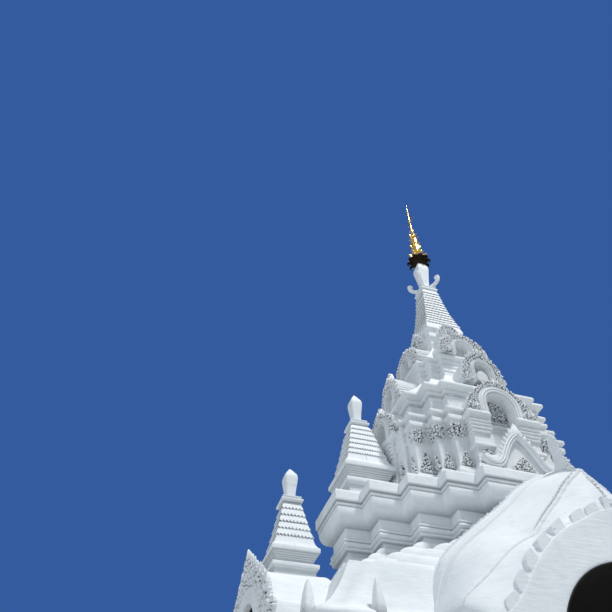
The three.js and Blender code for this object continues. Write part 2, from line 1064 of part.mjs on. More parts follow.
const recessOutline = [
  [-CENTRE_RECESS.half, CENTRE_RECESS.foot],
  [CENTRE_RECESS.half, CENTRE_RECESS.foot],
  ...archOutline(CENTRE_RECESS.half, BODY_GABLE.spring, GABLE_STEPS),
];
const recess = solid(alongY(recessOutline, -NICHE_FRONT, -CENTRE_RECESS.inner));
const recesses = recess.add(recess.mirror([0, 1, 0]));
add(
  "upper_body",
  fromSolid(solid(planLoft(BODY_PLAN, BODY_PROFILE)).subtract(recesses)),
  stucco,
);
const bodyCornice = solid(planLoft(BODY_PLAN, LOWER_BAND_PROFILE)).add(
  solid(planLoft(BODY_PLAN.slice(1, -1), UPPER_BAND_PROFILE)),
);
add(
  "body_cornice",
  fromSolid(withGables(bodyCornice, BODY_GABLE, secondKeep).subtract(recesses)),
  stucco,
);
add(
  "second_tier",
  fromSolid(
    withGables(tier(SECOND_PLAN, SECOND_PROFILE, THIRD_PLAN, SECOND_TIER_TOP), SECOND_GABLE, thirdKeep),
  ),
  stucco,
);
add(
  "third_tier",
  fromSolid(
    withGables(tier(THIRD_PLAN, THIRD_PROFILE, FOURTH_PLAN, THIRD_TIER_TOP), THIRD_GABLE, fourthKeep),
  ),
  stucco,
);

const crestOutline = bothSides(
  CREST_SHAPE.map(([x, z]) => [x * CREST.half, CREST.foot + z * (CREST.top - CREST.foot)]),
);
const holeOutline = archOutline(CREST.hole, CREST.holeHeight, GABLE_STEPS).concat(
  archOutline(CREST.hole, CREST.holeHeight, GABLE_STEPS)
    .slice(1, -1)
    .map(([x, z]) => [-x, 2 * CREST.holeHeight - z]),
);
const crestFront = solid(alongY(crestOutline, -CREST.front, -CREST.back)).subtract(
  solid(alongY(holeOutline, -CREST.front - OVERSHOOT, -CREST.front + CREST.holeDepth)),
);
const crests = fourSides(crestFront, crestFront.rotate([0, 0, 90]));
add(
  "fourth_tier",
  fromSolid(
    crests
      .reduce((whole, piece) => whole.add(piece), solid(planLoft(FOURTH_PLAN, FOURTH_PROFILE)))
      .subtract(spireKeep),
  ),
  stucco,
);

// Spire, bud and gilded finial

add("spire_roof", squareLoft([...SPIRE_PROFILE, ...COLLAR_PROFILE]), stucco);
add("lotus_bud", squareLoft(BUD_PROFILE), stucco);
add("finial_rings", fromSolid(solid(lathe(HTI_PROFILE, FINIAL_SIDES))), gilding);
add("finial_spike", fromSolid(solid(lathe(SPIKE_PROFILE, SPIKE_SIDES))), gilding);

export default temple;
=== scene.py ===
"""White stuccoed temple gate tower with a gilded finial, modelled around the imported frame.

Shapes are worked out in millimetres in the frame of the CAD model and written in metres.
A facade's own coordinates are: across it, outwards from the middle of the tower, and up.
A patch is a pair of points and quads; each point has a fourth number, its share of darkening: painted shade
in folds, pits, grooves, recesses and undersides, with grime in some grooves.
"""

import bmesh
import bpy
import numpy as np
from mathutils import Matrix, Vector


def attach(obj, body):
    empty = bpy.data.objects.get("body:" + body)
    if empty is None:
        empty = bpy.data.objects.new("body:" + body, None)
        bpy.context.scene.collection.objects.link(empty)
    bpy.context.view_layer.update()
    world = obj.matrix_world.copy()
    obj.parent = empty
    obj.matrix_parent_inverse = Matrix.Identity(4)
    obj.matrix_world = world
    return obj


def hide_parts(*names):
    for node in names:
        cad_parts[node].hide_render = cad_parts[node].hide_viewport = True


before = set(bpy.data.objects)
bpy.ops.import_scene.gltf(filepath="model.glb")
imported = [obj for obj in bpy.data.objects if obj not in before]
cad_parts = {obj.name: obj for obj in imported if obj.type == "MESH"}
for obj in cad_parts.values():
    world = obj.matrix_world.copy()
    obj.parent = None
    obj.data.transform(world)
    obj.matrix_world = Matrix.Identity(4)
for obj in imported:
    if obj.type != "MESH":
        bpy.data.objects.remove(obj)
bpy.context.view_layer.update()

MM = 0.001
TAU = 2 * np.pi
TINY = 1e-6
MERGE_GAP, SLIVER = 2e-5, 1e-6
FOLD_DEPTH, FOLD_SHADE = 0.012, 0.6
FACES, ENDS, WAYS = ("front", "back"), ("left", "right"), (-1, 1)
QUADRANTS = [(sx, sy) for sx in WAYS for sy in WAYS]


# Curves and grids

def arr(points):
    return np.array(points, dtype=float)


def clamp(value):
    return np.clip(value, 0, 1)


def dome(x):
    """A half circle over -1 to 1."""
    return np.sqrt(clamp(1 - x ** 2))


def both(half):
    """A half outline, from the middle outwards, with its mirror image: left foot to right foot."""
    half = arr(half)
    left = half[::-1] * (-1, 1)
    return np.concatenate([left[:-1] if half[0, 0] == 0 else left, half])


def run_along(points):
    """The way along a polyline to each of its points."""
    return np.r_[0, np.cumsum(np.linalg.norm(np.diff(points, axis=0), axis=1))]


def evenly(points, count):
    """The polyline cut at equal lengths into the given count of points."""
    run = run_along(points)
    at = np.linspace(0, run[-1], count)
    return np.stack([np.interp(at, run, column) for column in arr(points).T], -1)


def rounded(points, turns=1):
    """Corners cut at a quarter of each side, again and again, with the ends kept."""
    points = arr(points)
    for _ in range(turns):
        now, nxt = points[:-1], points[1:]
        cut = np.stack([0.75 * now + 0.25 * nxt, 0.25 * now + 0.75 * nxt], 1).reshape(-1, points.shape[1])
        points = np.concatenate([points[:1], cut, points[-1:]])
    return points


def smooth(points, count):
    return evenly(rounded(points, 2), count)


def outline(half, count):
    return evenly(both(rounded(half)), count)


def directions(path):
    """Unit tangents of a curve, and its normals a quarter turn to their left."""
    along = np.gradient(path, axis=0)
    along /= np.maximum(np.linalg.norm(along, axis=1, keepdims=True), TINY)
    return along, np.stack([-along[:, 1], along[:, 0]], -1)


def soften(points, bite=4.0, reach=22.0):
    """Each inner corner of a profile replaced by two points a little before and after it.

    A long side gets two more points close to its ends, so that shading stays by the corners."""
    points = arr(points)
    step = np.diff(points, axis=0)
    length = np.maximum(np.linalg.norm(step, axis=1), TINY)[:, None]
    cut = np.minimum(bite, 0.35 * length) / length
    inner = np.stack([points[1:-1] - step[:-1] * cut[:-1], points[1:-1] + step[1:] * cut[1:]], 1)
    points = np.concatenate([points[:1], inner.reshape(-1, points.shape[1]), points[-1:]])
    parts = []
    for point, way in zip(points, np.diff(points, axis=0)):
        share = reach / np.linalg.norm(way)
        parts += [point] if 3 * share > 1 else [point, point + way * share, point + way * (1 - share)]
    return arr(parts + [points[-1]])


def dense(profile, step):
    """A profile with no side longer than step."""
    profile = arr(profile)
    out = [profile[:1]]
    for a, b in zip(profile[:-1], profile[1:]):
        pieces = max(1, int(np.ceil(np.linalg.norm(b - a) / step)))
        out.append(a + (b - a) * np.linspace(0, 1, pieces + 1)[1:, None])
    return np.concatenate(out)


def arch_line(half, spring, foot, count):
    """Left foot, over a half circle, to the right foot."""
    turn = np.linspace(0, np.pi, 41)[::-1]
    top = np.stack([half * np.cos(turn), spring + half * np.sin(turn)], -1)
    return evenly(np.concatenate([[[-half, foot]], top, [[half, foot]]]), count)


def leafy_edge(line, pitch, height):
    """A curve with leaf tips standing out of it: a rectified sine along its length."""
    run = np.cumsum(np.linalg.norm(np.gradient(line, axis=0), axis=1))
    fade = clamp(np.minimum(run - run[0], run[-1] - run) / pitch)
    tips = height * (np.abs(np.sin(np.pi * run / pitch)) ** 0.7 - 0.35) * fade
    return line + directions(line)[1] * tips[:, None]


def with_hollow(P, hollow=0.0):
    return np.concatenate([P, np.broadcast_to(hollow, P.shape[:-1])[..., None]], -1)


def hollow_of(profile):
    return profile[:, 2:3] if profile.shape[1] > 2 else 0.0


def grid(P, capped=True):
    """Quads over rows of points, each row closed on itself; caps draw the end rows to their middles."""
    if P.shape[-1] == 3:
        P = with_hollow(P)
    if capped:
        low, high = (np.broadcast_to(row.mean(1, keepdims=True), row.shape) for row in (P[:1], P[-1:]))
        P = np.concatenate([low, P, high])
    rows, count = P.shape[:2]
    number = np.arange(rows * count).reshape(rows, count)
    number = np.concatenate([number, number[:, :1]], 1)
    quads = np.stack([number[:-1, :-1], number[:-1, 1:], number[1:, 1:], number[1:, :-1]], -1)
    return P.reshape(-1, 4), quads.reshape(-1, 4)


def backed(face, back):
    """A face's rows closed at a plane behind it."""
    rear = face[:, [-1, 0]].copy()
    rear[..., 1] = back
    rear[..., 3] = 0
    return grid(np.concatenate([face, rear], 1))


def on_side(patches, side):
    """A facade's patches placed on one side of the tower."""
    placed = []
    for V, F in patches:
        a, o, z, h = V.T
        x, y = {"front": (a, -o), "back": (-a, o), "right": (o, a), "left": (-o, -a)}[side]
        placed.append((np.stack([x, y, z, h], -1), F))
    return placed


def flipped(patch, x=1, y=1):
    """A patch mirrored in the middle planes."""
    return patch[0] * (x, y, 1, 1), patch[1]


def moved(patch, dx, dy=0.0, dz=0.0):
    return patch[0] + (dx, dy, dz, 0), patch[1]


def quarters(patch, start, count=4):
    """Copies of a patch turned round the tower's axis."""
    x, y, z, h = patch[0].T
    turns = start + TAU * np.arange(count) / count
    return [(np.stack([np.cos(t) * x - np.sin(t) * y, np.sin(t) * x + np.cos(t) * y, z, h], -1), patch[1])
            for t in turns]


# Wobble of hand-laid plaster, and carved foliage

def wobble(P):
    """A slow drift of up to about 3 mm along each axis: sums of sines of the place."""
    x, y, z = (P[:, :3] * MM).T
    drift = np.stack([
        np.sin(3.1 * z + 1.3 * y + 0.4) + 0.6 * np.sin(7.3 * z - 4.1 * x),
        np.sin(2.7 * z - 1.7 * x + 2.1) + 0.6 * np.sin(6.1 * y + 5.7 * z),
        np.sin(2.3 * x + 1.9 * y) + 0.6 * np.sin(5.3 * x - 6.7 * y + 1.0),
    ], -1)
    return 2.0 * drift * clamp((z - 0.5) / 1.5)[:, None] * np.clip(11.3 - z, 0.1, 1)[:, None]


def scatter(i, j, seed):
    """Two numbers from 0 to 1 for each cell of a net, the same each run: fractions of a large sine."""
    one = np.sin(i * 127.1 + j * 311.7 + seed * 17.3) * 43758.5453
    two = np.sin(i * 269.5 + j * 183.3 + seed * 29.7) * 28001.8384
    return one - np.floor(one), two - np.floor(two)


LEAF_STRETCH, JOINT_WIDTH, HOLLOW_GAIN = 1.25, 0.13, 4.4


def foliage(u, v, cell, seed):
    """Carved curling leaves: (height 0 to 1, hollow 0 to 1).

    The surface falls into cells about scattered middles. In each, the height is a one-armed spiral wave about
    the middle; the troughs of the wave and the joints of the cells are cut deep, and the second number paints
    shade into them."""
    U, W = u / (LEAF_STRETCH * cell), v / (LEAF_STRETCH * cell)
    found = []
    for di in (-1, 0, 1):
        for dj in (-1, 0, 1):
            i, j = np.floor(U) + di, np.floor(W) + dj
            a, b = scatter(i, j, seed)
            dx, dy = U - i - 0.1 - 0.8 * a, W - j - 0.1 - 0.8 * b
            found.append(np.stack([np.hypot(dx, dy), np.arctan2(dy, dx), a]))
    found = np.stack(found)
    order = np.argsort(found[:, 0], axis=0)
    near = np.take_along_axis(found, order[:, None][:2], 0)
    first, turn, way = near[0]
    wave = (0.5 + 0.5 * np.cos(TAU * first * 1.6 - np.where(way > 0.5, 1, -1) * turn + way * 9)) ** 0.55
    edge = clamp((near[1, 0] - first) / JOINT_WIDTH)
    height = wave * (0.3 + 0.7 * edge)
    return height, clamp((0.5 - height) * HOLLOW_GAIN)


def carved(x, u, v, cell, seed, plane, bulge, depth, rim, darkening, pits=1.0):
    """A face that bulges as a half circle of x, carved with leaves that die out at its edges."""
    rise, hollow = foliage(u, v, cell, seed)
    swell = dome(x)
    out = plane + swell * bulge + depth * rise * clamp(swell * rim)
    # The second number is painted shade in the carving's pits, fading out towards the bulge's edges.
    return out, clamp(pits * hollow) * clamp(swell * darkening)


# Bodies of stone

def corners(plan, offset):
    """Corner points of the full outline of a stepped plan, given for one quarter, moved outwards."""
    x = np.repeat(plan[..., 0], 2, -1)[..., 1:] + offset
    y = np.repeat(plan[..., 1], 2, -1)[..., :-1] + offset
    q = np.stack([x, y], -1)
    return np.concatenate([q, q[..., ::-1, :] * (-1, 1), q * (-1, -1), q[..., ::-1, :] * (1, -1)], -2)


def around(plan, profile, step=110.0, bite=7.0, relief=None):
    """A profile of offset and height carried round a stepped plan, or round one plan for each height.

    relief(u, z) gives a height added outwards and a hollow, u being the way along the ring."""
    plan, profile = arr(plan), arr(profile)
    if plan.ndim == 2:
        plan = np.broadcast_to(plan, (len(profile), *plan.shape))
    ring, inner = corners(plan, profile[:, :1]), corners(plan, profile[:, :1] - 1)
    side = np.linalg.norm(np.roll(ring, -1, 1) - ring, axis=-1).mean(0)
    first, share = [], []
    for k, length in enumerate(side):
        if length < 1:
            continue
        pieces = max(1, round(length / step))
        gap = min(bite / length, 0.3)
        places = np.linspace(gap, 1 - gap, pieces + 1)
        if length / pieces > 60:
            places = np.sort(np.r_[places, gap + 24 / length, 1 - gap - 24 / length])
        first.append(np.full(len(places), k))
        share.append(places)
    first, share = np.concatenate(first), np.concatenate(share)[:, None]
    after = (first + 1) % len(side)
    place = ring[:, first] * (1 - share) + ring[:, after] * share
    height = np.broadcast_to(profile[:, None, 1:2], (*place.shape[:2], 1))
    if not relief:
        return grid(with_hollow(np.concatenate([place, height], -1), hollow_of(profile)))
    outwards = place - inner[:, first] * (1 - share) - inner[:, after] * share
    add, hollow = relief(run_along(place.mean(0)) + 0 * height[..., 0], height[..., 0])
    return grid(np.concatenate([place + outwards * add[..., None], height, hollow[..., None]], -1))


def band(inner, outer, front, back, across):
    """The strip between two curves of a facade: its face stands where front(u, v, s) says, in millimetres.

    u runs along the strip, v across it and s is v's share; the strip is closed at the plane back."""
    s = np.linspace(0, 1, across) if np.isscalar(across) else arr(across)
    P = inner[:, None] * (1 - s[:, None]) + outer[:, None] * s[:, None]
    u = run_along(P[:, len(s) // 2])[:, None] * np.ones(len(s))
    v = np.linalg.norm(P - P[:, :1], axis=-1)
    out, hollow = front(u, v, s * np.ones_like(u))
    return backed(np.stack([P[..., 0], out + 0 * u, P[..., 1], hollow + 0 * u], -1), back)


def panel(z, left, right, front, back, across):
    """A plate between two edges at each height: its face stands where front(a, z) says, its back is flat."""
    t = np.linspace(0, 1, across)
    a = left[:, None] * (1 - t) + right[:, None] * t
    up = z[:, None] + 0 * a
    out, hollow = front(a, up)
    return backed(np.stack([a, out + 0 * a, up, hollow + 0 * a], -1), back)


def roll(path, half, thick, out, sides=6):
    """A rounded moulding along a curve of a facade: half is its half width, thick its half depth."""
    path = arr(path)
    normal = directions(path)[1]
    turn = np.linspace(0, TAU, sides, endpoint=False)
    half, thick, out = (np.broadcast_to(value, len(path))[:, None] for value in (half, thick, out))
    a, z = (path[:, k:k + 1] + normal[:, k:k + 1] * half * np.cos(turn) for k in (0, 1))
    return grid(np.stack([a, out + thick * np.sin(turn), z], -1))


def leaf(root, tip, width, thick, out, curl=0.25, count=9):
    """A pointed flame leaf: its width swells as a sine and closes at the tip, its midline bends by curl."""
    root, tip = arr(root), arr(tip)
    t = np.linspace(0, 1, count)[:, None]
    way = tip - root
    path = root + way * t + arr([-way[1], way[0]]) * curl * (t ** 2 - t)
    half = width / 2 * np.sin(np.pi * (0.22 + 0.78 * t[:, 0]) ** 0.8) ** 0.9 + 1
    return roll(path, half, thick * (0.35 + 0.65 * half / half.max()), out)


def spiral(x, z, radius, turns, way, half, out, thick):
    """A moulding rolled up into a volute."""
    t = np.linspace(0, 1, 40)
    r = radius * (1 - 0.86 * t)
    angle = TAU * turns * t * way
    path = np.stack([x + r * np.cos(angle), z + r * np.sin(angle)], -1)
    return roll(path, half * (1 - 0.55 * t), thick, out, sides=8)


def square_ring(count):
    """Points round a square of half width 1, with count of them to a side."""
    t = np.linspace(-1, 1, count + 1)[:-1]
    one = np.ones_like(t)
    return np.concatenate([np.stack(p, -1) for p in ((one, t), (-t, one), (-one, -t), (t, -one))])


def square(profile, relief, across):
    """A four-sided roof: half width and height, and relief(a, z, half) added to the half width."""
    profile = arr(profile)
    unit = square_ring(across)
    half = profile[:, :1] * np.ones(len(unit))
    a = np.tile(np.linspace(-1, 1, across + 1)[:-1], 4) * half
    z = profile[:, 1:2] + 0 * a
    add, hollow = relief(a, z, half) if relief else (0, hollow_of(profile))
    half = half + add
    return grid(np.stack([unit[:, 0] * half, unit[:, 1] * half, z, hollow + 0 * a], -1))


def lathe(profile, sides, lobes=0, depth=0.0):
    """A profile of radius and height turned round the tower's axis, with lobes if asked."""
    profile = arr(profile)
    turn = np.linspace(0, TAU, sides, endpoint=False)
    r = profile[:, :1] * (1 + depth * np.cos(lobes * turn))
    z = profile[:, 1:2] + 0 * turn
    return grid(np.stack([r * np.cos(turn), r * np.sin(turn), z, hollow_of(profile) + 0 * z], -1))


def motif(middle, half, low, high, plane, seed, bulge=16.0, power=0.8):
    """A carved leaf on a wall: its half width falls as a power of the way up, its face bulges."""
    z = np.linspace(low, high, max(12, int((high - low) / 5)))
    share = (z - low) / (high - low)
    wide = half * clamp(1 - share) ** power * clamp(share / 0.12 + 0.6)

    def face(a, up):
        x = np.abs(a - middle) / np.maximum(wide[:, None], 1)
        return carved(x, a + 500, up, 50, seed, plane + 2, bulge, 24, 3, 2.5)

    return panel(z, middle - wide, middle + wide, face, plane - 20, max(14, int(half / 2.8)))


def cushion(profile, seed, stations=128):
    """A carved capital round an upright axis: its plan is a softened square, a superellipse."""
    profile = dense(profile, 6)
    turn = np.linspace(0, TAU, stations, endpoint=False)
    power = 2.7
    softened = 1 / (np.abs(np.cos(turn)) ** power + np.abs(np.sin(turn)) ** power) ** (1 / power)
    z = profile[:, 1:] + 0 * turn
    rise, hollow = foliage(turn * 118 + 900, z, 52, seed)
    ends = clamp(np.minimum(z - profile[0, 1], profile[-1, 1] - z) / 20)
    r = profile[:, :1] * softened + 22 * rise * ends
    # The carving's pits get painted shade, fading out at the capital's ends.
    return grid(np.stack([r * np.cos(turn), r * np.sin(turn), z, hollow * ends], -1))


def block(a0, a1, back, profile, soft=10.0):
    """A pier between a0 and a1; a profile of its face's plane and height moves its face and its sides."""
    profile = arr(profile)
    front, rear = profile[:, :1], 0 * profile[:, :1] + back
    shift = front - front.max()
    low, high = min(a0, a1) - shift, max(a0, a1) + shift
    a = np.concatenate([low, low, low + soft, (low + high) / 2, high - soft, high, high], 1)
    o = np.concatenate([rear, front - soft, front, front, front, front - soft, rear], 1)
    return grid(np.stack([a, o, profile[:, 1:] + 0 * a], -1))


# Pieces

def rows_of(items, label, width, kind=float):
    """A property of a mesh's items as an array of rows."""
    values = np.empty(len(items) * width, dtype=kind)
    items.foreach_get(label, values)
    return values.reshape(-1, width)


def crevices(mesh):
    """How deep each point lies in a fold: how far its neighbours' middle stands out along its normal."""
    v, normal = rows_of(mesh.vertices, "co", 3), rows_of(mesh.vertices, "normal", 3)
    a, b = rows_of(mesh.edges, "vertices", 2, np.int64).T
    n = len(v)
    total, count = np.zeros((n, 3)), np.zeros(n)
    for p, q in ((a, b), (b, a)):
        for k in range(3):
            total[:, k] += np.bincount(p, v[q, k], n)
        count += np.bincount(p, minlength=n)
    rise = ((total / np.maximum(count, 1)[:, None] - v) * normal).sum(1)
    return clamp(rise / FOLD_DEPTH - 0.15)


def piece(name, patches, material, nodes=(), slot="stucco", angle=42, loose=True):
    """One object from patches, closed, smoothed up to an angle, with its share of darkening kept as an
    attribute and painted shade added in its folds.
    """
    starts = np.cumsum([0] + [len(V) for V, _ in patches])
    V = np.concatenate([V for V, _ in patches])
    F = np.concatenate([F + start for (_, F), start in zip(patches, starts)])
    if loose:
        V = V + with_hollow(wobble(V))
    mesh = bpy.data.meshes.new(name)
    mesh.from_pydata(V[:, :3] * MM, [], F.tolist())
    mesh.attributes.new("hollow", "FLOAT", "POINT").data.foreach_set("value", V[:, 3].astype(np.float32))
    bm = bmesh.new()
    bm.from_mesh(mesh)
    bmesh.ops.remove_doubles(bm, verts=bm.verts, dist=MERGE_GAP)
    bmesh.ops.dissolve_degenerate(bm, edges=bm.edges, dist=SLIVER)
    bmesh.ops.recalc_face_normals(bm, faces=bm.faces)
    bm.to_mesh(mesh)
    bm.free()
    mesh.polygons.foreach_set("use_smooth", np.ones(len(mesh.polygons), dtype=bool))
    mesh.set_sharp_from_angle(angle=np.radians(angle))
    held = mesh.attributes["hollow"].data
    # Folds get painted shade: the deeper a point lies in a fold, the darker it is painted.
    hollow = np.maximum(rows_of(held, "value", 1, np.float32)[:, 0], FOLD_SHADE * crevices(mesh))
    held.foreach_set("value", hollow.astype(np.float32))
    mesh.materials.append(material)
    made = bpy.data.objects.new(name, mesh)
    bpy.context.scene.collection.objects.link(made)
    if nodes:
        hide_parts(*nodes)
    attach(made, "root")


def side_piece(side, name, patches, material, node=None, **settings):
    """A facade's piece on one side of the tower."""
    nodes = [f"{node}_{side}"] if node else []
    piece(f"{name}_{side}", on_side(patches, side), material, nodes, **settings)


# Materials

def feed(tree, socket, value):
    """A socket linked from another one, or set to a plain value."""
    if isinstance(value, bpy.types.NodeSocket):
        tree.links.new(value, socket)
    else:
        socket.default_value = value


def wire(tree, kind, inputs=(), **settings):
    """A new node with its settings, and its inputs fed."""
    made = tree.nodes.new(kind)
    for key, value in settings.items():
        setattr(made, key, value)
    for name, value in dict(inputs).items():
        feed(tree, made.inputs[name], value)
    return made


def noise(tree, place, scale, low=0.2, high=0.8, detail=3.0):
    """Noise cut to 0 below low and 1 above high."""
    inputs = {"Vector": place, "Scale": scale, "Detail": detail, "Roughness": 0.55}
    value = wire(tree, "ShaderNodeTexNoise", inputs).outputs[0]
    return wire(tree, "ShaderNodeMapRange", {"Value": value, "From Min": low, "From Max": high}).outputs[0]


def stretched(tree, place, scale):
    return wire(tree, "ShaderNodeMapping", {"Vector": place, "Scale": scale}).outputs[0]


def maths(tree, how, a, b):
    return wire(tree, "ShaderNodeMath", {0: a, 1: b}, operation=how).outputs[0]


def blend_colour(tree, share, a, b):
    return wire(tree, "ShaderNodeMix", {0: share, 6: a, 7: b}, data_type="RGBA").outputs[2]


def object_place(tree):
    return tree.nodes.new("ShaderNodeTexCoord").outputs["Object"]


def hollow_mask(tree):
    node = wire(tree, "ShaderNodeAttribute", attribute_name="hollow", attribute_type="GEOMETRY")
    return node.outputs["Fac"]


def new_material(name):
    """A material, its node tree and the inputs of its shader."""
    material = bpy.data.materials.new(name)
    material.use_nodes = True
    return material, material.node_tree, material.node_tree.nodes["Principled BSDF"].inputs


def lay_on(tree, shader, colour, rough, height, strength, distance):
    """The shader's colour and roughness, and a bump from a height."""
    feed(tree, shader["Base Color"], colour)
    feed(tree, shader["Roughness"], rough)
    bump = wire(tree, "ShaderNodeBump", {"Height": height, "Strength": strength, "Distance": distance})
    feed(tree, shader["Normal"], bump.outputs[0])


def plaster_group():
    """Limewash over plaster: broad stains, drips, mould spots, hairline cracks, and painted shade with some
    grime in hollows.
    """
    tree = bpy.data.node_groups.new("limewash", "ShaderNodeTree")
    sockets = (("INPUT", "Color", ("Clean", "Stain", "Grime and shade colour")), ("INPUT", "Float", ("Hollow", "Drips")),
               ("OUTPUT", "Color", ("Colour",)), ("OUTPUT", "Float", ("Roughness", "Height")))
    for way, kind, labels in sockets:
        for label in labels:
            tree.interface.new_socket(label, in_out=way, socket_type="NodeSocket" + kind)
    given = tree.nodes.new("NodeGroupInput").outputs
    result = tree.nodes.new("NodeGroupOutput").inputs
    place = object_place(tree)

    def times(a, b):
        return maths(tree, "MULTIPLY", a, b)

    small = noise(tree, place, 9.0, 0.4, 0.75, detail=5.0)
    runs = noise(tree, stretched(tree, place, (6.0, 6.0, 0.55)), 1.7, 0.55, 0.82, detail=4.0)
    broad = noise(tree, place, 0.8, 0.38, 0.72)
    stain = maths(tree, "MAXIMUM", times(broad, 0.45), times(runs, given["Drips"]))
    strokes = noise(tree, stretched(tree, place, (1.0, 1.0, 5.0)), 8.0, 0.42, 0.7)
    colour = given["Clean"]
    for share in (stain, times(small, 0.25), times(strokes, 0.28)):
        colour = blend_colour(tree, share, colour, given["Stain"])
    spots = times(noise(tree, place, 34.0, 0.7, 0.76, detail=1.0), noise(tree, place, 1.3, 0.5, 0.7))
    bent = wire(tree, "ShaderNodeTexNoise", {"Vector": place, "Scale": 2.4, "Detail": 4.0}).outputs[1]
    drawn = wire(tree, "ShaderNodeMix", {0: 0.12, "A": place, "B": bent}, data_type="VECTOR").outputs[1]
    cells = wire(tree, "ShaderNodeTexVoronoi", {"Vector": drawn, "Scale": 1.5}, feature="DISTANCE_TO_EDGE")
    line = wire(tree, "ShaderNodeMapRange", {"Value": cells.outputs[0], "From Min": 0.0, "From Max": 0.005,
                                             "To Min": 1.0, "To Max": 0.0}).outputs[0]
    crack = times(line, noise(tree, place, 0.9, 0.64, 0.70))
    marks = maths(tree, "MAXIMUM", times(spots, 0.7), times(crack, 0.45))
    # Spots and cracks are real marks; the share from the mesh is mostly painted shade. Both take the same
    # dark colour.
    dirt_and_shade = maths(tree, "MAXIMUM", marks, given["Hollow"])
    feed(tree, result["Colour"], blend_colour(tree, dirt_and_shade, colour, given["Grime and shade colour"]))
    feed(tree, result["Roughness"], maths(tree, "ADD", times(small, 0.15), 0.72))
    height = times(noise(tree, place, 2.2, detail=1.0), 0.5)
    trowel = noise(tree, stretched(tree, place, (1.0, 1.0, 4.5)), 6.5)
    for part, share in ((trowel, 0.42), (noise(tree, place, 120.0, detail=2.0), 0.02)):
        height = maths(tree, "ADD", height, times(part, share))
    feed(tree, result["Height"], maths(tree, "SUBTRACT", height, times(crack, 0.12)))
    return tree


LIMEWASH = plaster_group()


def plaster(name, clean, stain, darkening, drips=0.5, bump=0.35):
    """Plaster in three colours from the limewash group."""
    material, tree, shader = new_material(name)
    shader["Specular IOR Level"].default_value = 0.25
    inputs = {"Clean": (*clean, 1), "Stain": (*stain, 1), "Grime and shade colour": (*darkening, 1), "Drips": drips,
              "Hollow": hollow_mask(tree)}
    wash = wire(tree, "ShaderNodeGroup", inputs, node_tree=LIMEWASH).outputs
    lay_on(tree, shader, wash["Colour"], wash["Roughness"], wash["Height"], bump, 0.012)
    return material


def gilded(name, gold, tarnish_and_shade):
    """Leafed metal: tarnish in soft patches, painted shade in hollows and on undersides, small dents from the
    beating.
    """
    material, tree, shader = new_material(name)
    shader["Metallic"].default_value = 0.92
    place = object_place(tree)
    worn = maths(tree, "MULTIPLY", noise(tree, place, 11.0, 0.5, 0.75, detail=4.0), 0.45)
    # The darkening is real tarnish in noise patches and painted shade from the mesh's share.
    tarnish_and_shade_share = maths(tree, "MAXIMUM", hollow_mask(tree), worn)
    rough = maths(tree, "ADD", maths(tree, "MULTIPLY", tarnish_and_shade_share, 0.35), 0.26)
    lay_on(tree, shader, blend_colour(tree, tarnish_and_shade_share, gold, tarnish_and_shade), rough, noise(tree, place, 42.0), 0.4, 0.004)
    return material


def stone_paving(name):
    """Worn slabs in a bond: joints from a brick pattern, stains and pits from noise."""
    material, tree, shader = new_material(name)
    place = object_place(tree)
    slabs = wire(tree, "ShaderNodeTexBrick", {
        "Vector": place, "Scale": 1.0, "Color1": (0.42, 0.40, 0.36, 1), "Color2": (0.50, 0.475, 0.43, 1),
        "Mortar": (0.16, 0.15, 0.14, 1), "Mortar Size": 0.006, "Mortar Smooth": 0.4,
        "Brick Width": 0.6, "Row Height": 0.4,
    }).outputs
    stain = maths(tree, "MULTIPLY", noise(tree, place, 2.3, 0.4, 0.75, detail=5.0), 0.5)
    colour = blend_colour(tree, stain, slabs[0], (0.27, 0.25, 0.22, 1))
    wear = maths(tree, "SUBTRACT", noise(tree, place, 30.0, detail=4.0), slabs[1])
    rough = maths(tree, "ADD", maths(tree, "MULTIPLY", stain, 0.3), 0.6)
    lay_on(tree, shader, colour, rough, wear, 0.5, 0.006)
    return material


# The third colour of each plaster darkens spots and cracks and is also the painted shade in folds, pits and
# grooves; near black on the carvings.
WHITE = plaster("white_limewash", (0.78, 0.81, 0.83), (0.58, 0.63, 0.66), (0.05, 0.046, 0.042), bump=0.5)
CARVED = plaster("carved_limewash", (0.78, 0.805, 0.82), (0.54, 0.58, 0.60), (0.01, 0.01, 0.01), bump=0.25)
# A near-black plaster that paints the shade inside the passage and the window reveals.
SHADE_BLACK = plaster("painted_shade_plaster", (0.01, 0.009, 0.009), (0.022, 0.019, 0.017), (0.004, 0.004, 0.004), drips=0.8)
GOLD = gilded("gold_leaf", (0.90, 0.58, 0.14, 1), (0.025, 0.016, 0.010, 1))
PAVING = stone_paving("stone_paving")

for label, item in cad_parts.items():
    for place in item.material_slots:
        place.material = PAVING if label == "floor" else WHITE


# Plans, a quarter of each, and main heights

BREAK_PLAN = [(2320, 640), (2290, 871), (2190, 1045), (2001, 1150), (1443, 1210)]
CORNICE_PLAN = [(2107, 392), (1788, 682), (1405, 928), (1001, 1116), (617, 1320)]
BODY_PLAN = [(1225, 300), (1170, 515), (1110, 690), (862, 850), (680, 963), (475, 1080)]
SECOND_PLAN = [(1012, 540), (820, 788), (620, 885)]
THIRD_PLAN = [(605, 290), (505, 430), (345, 541)]
FOURTH_PLAN = [(296, 160), (290, 290), (160, 296)]
EAVES, BREAK_HEIGHT, COURSE_TOP = 4106, 4837, 5438
CORNICE_TOP, WING_RIDGE = 6216, 5070
DOOR_HALF, DOOR_SPRING = 970, 3590
FLOOR_TOP = 345


# Courses and lower roofs

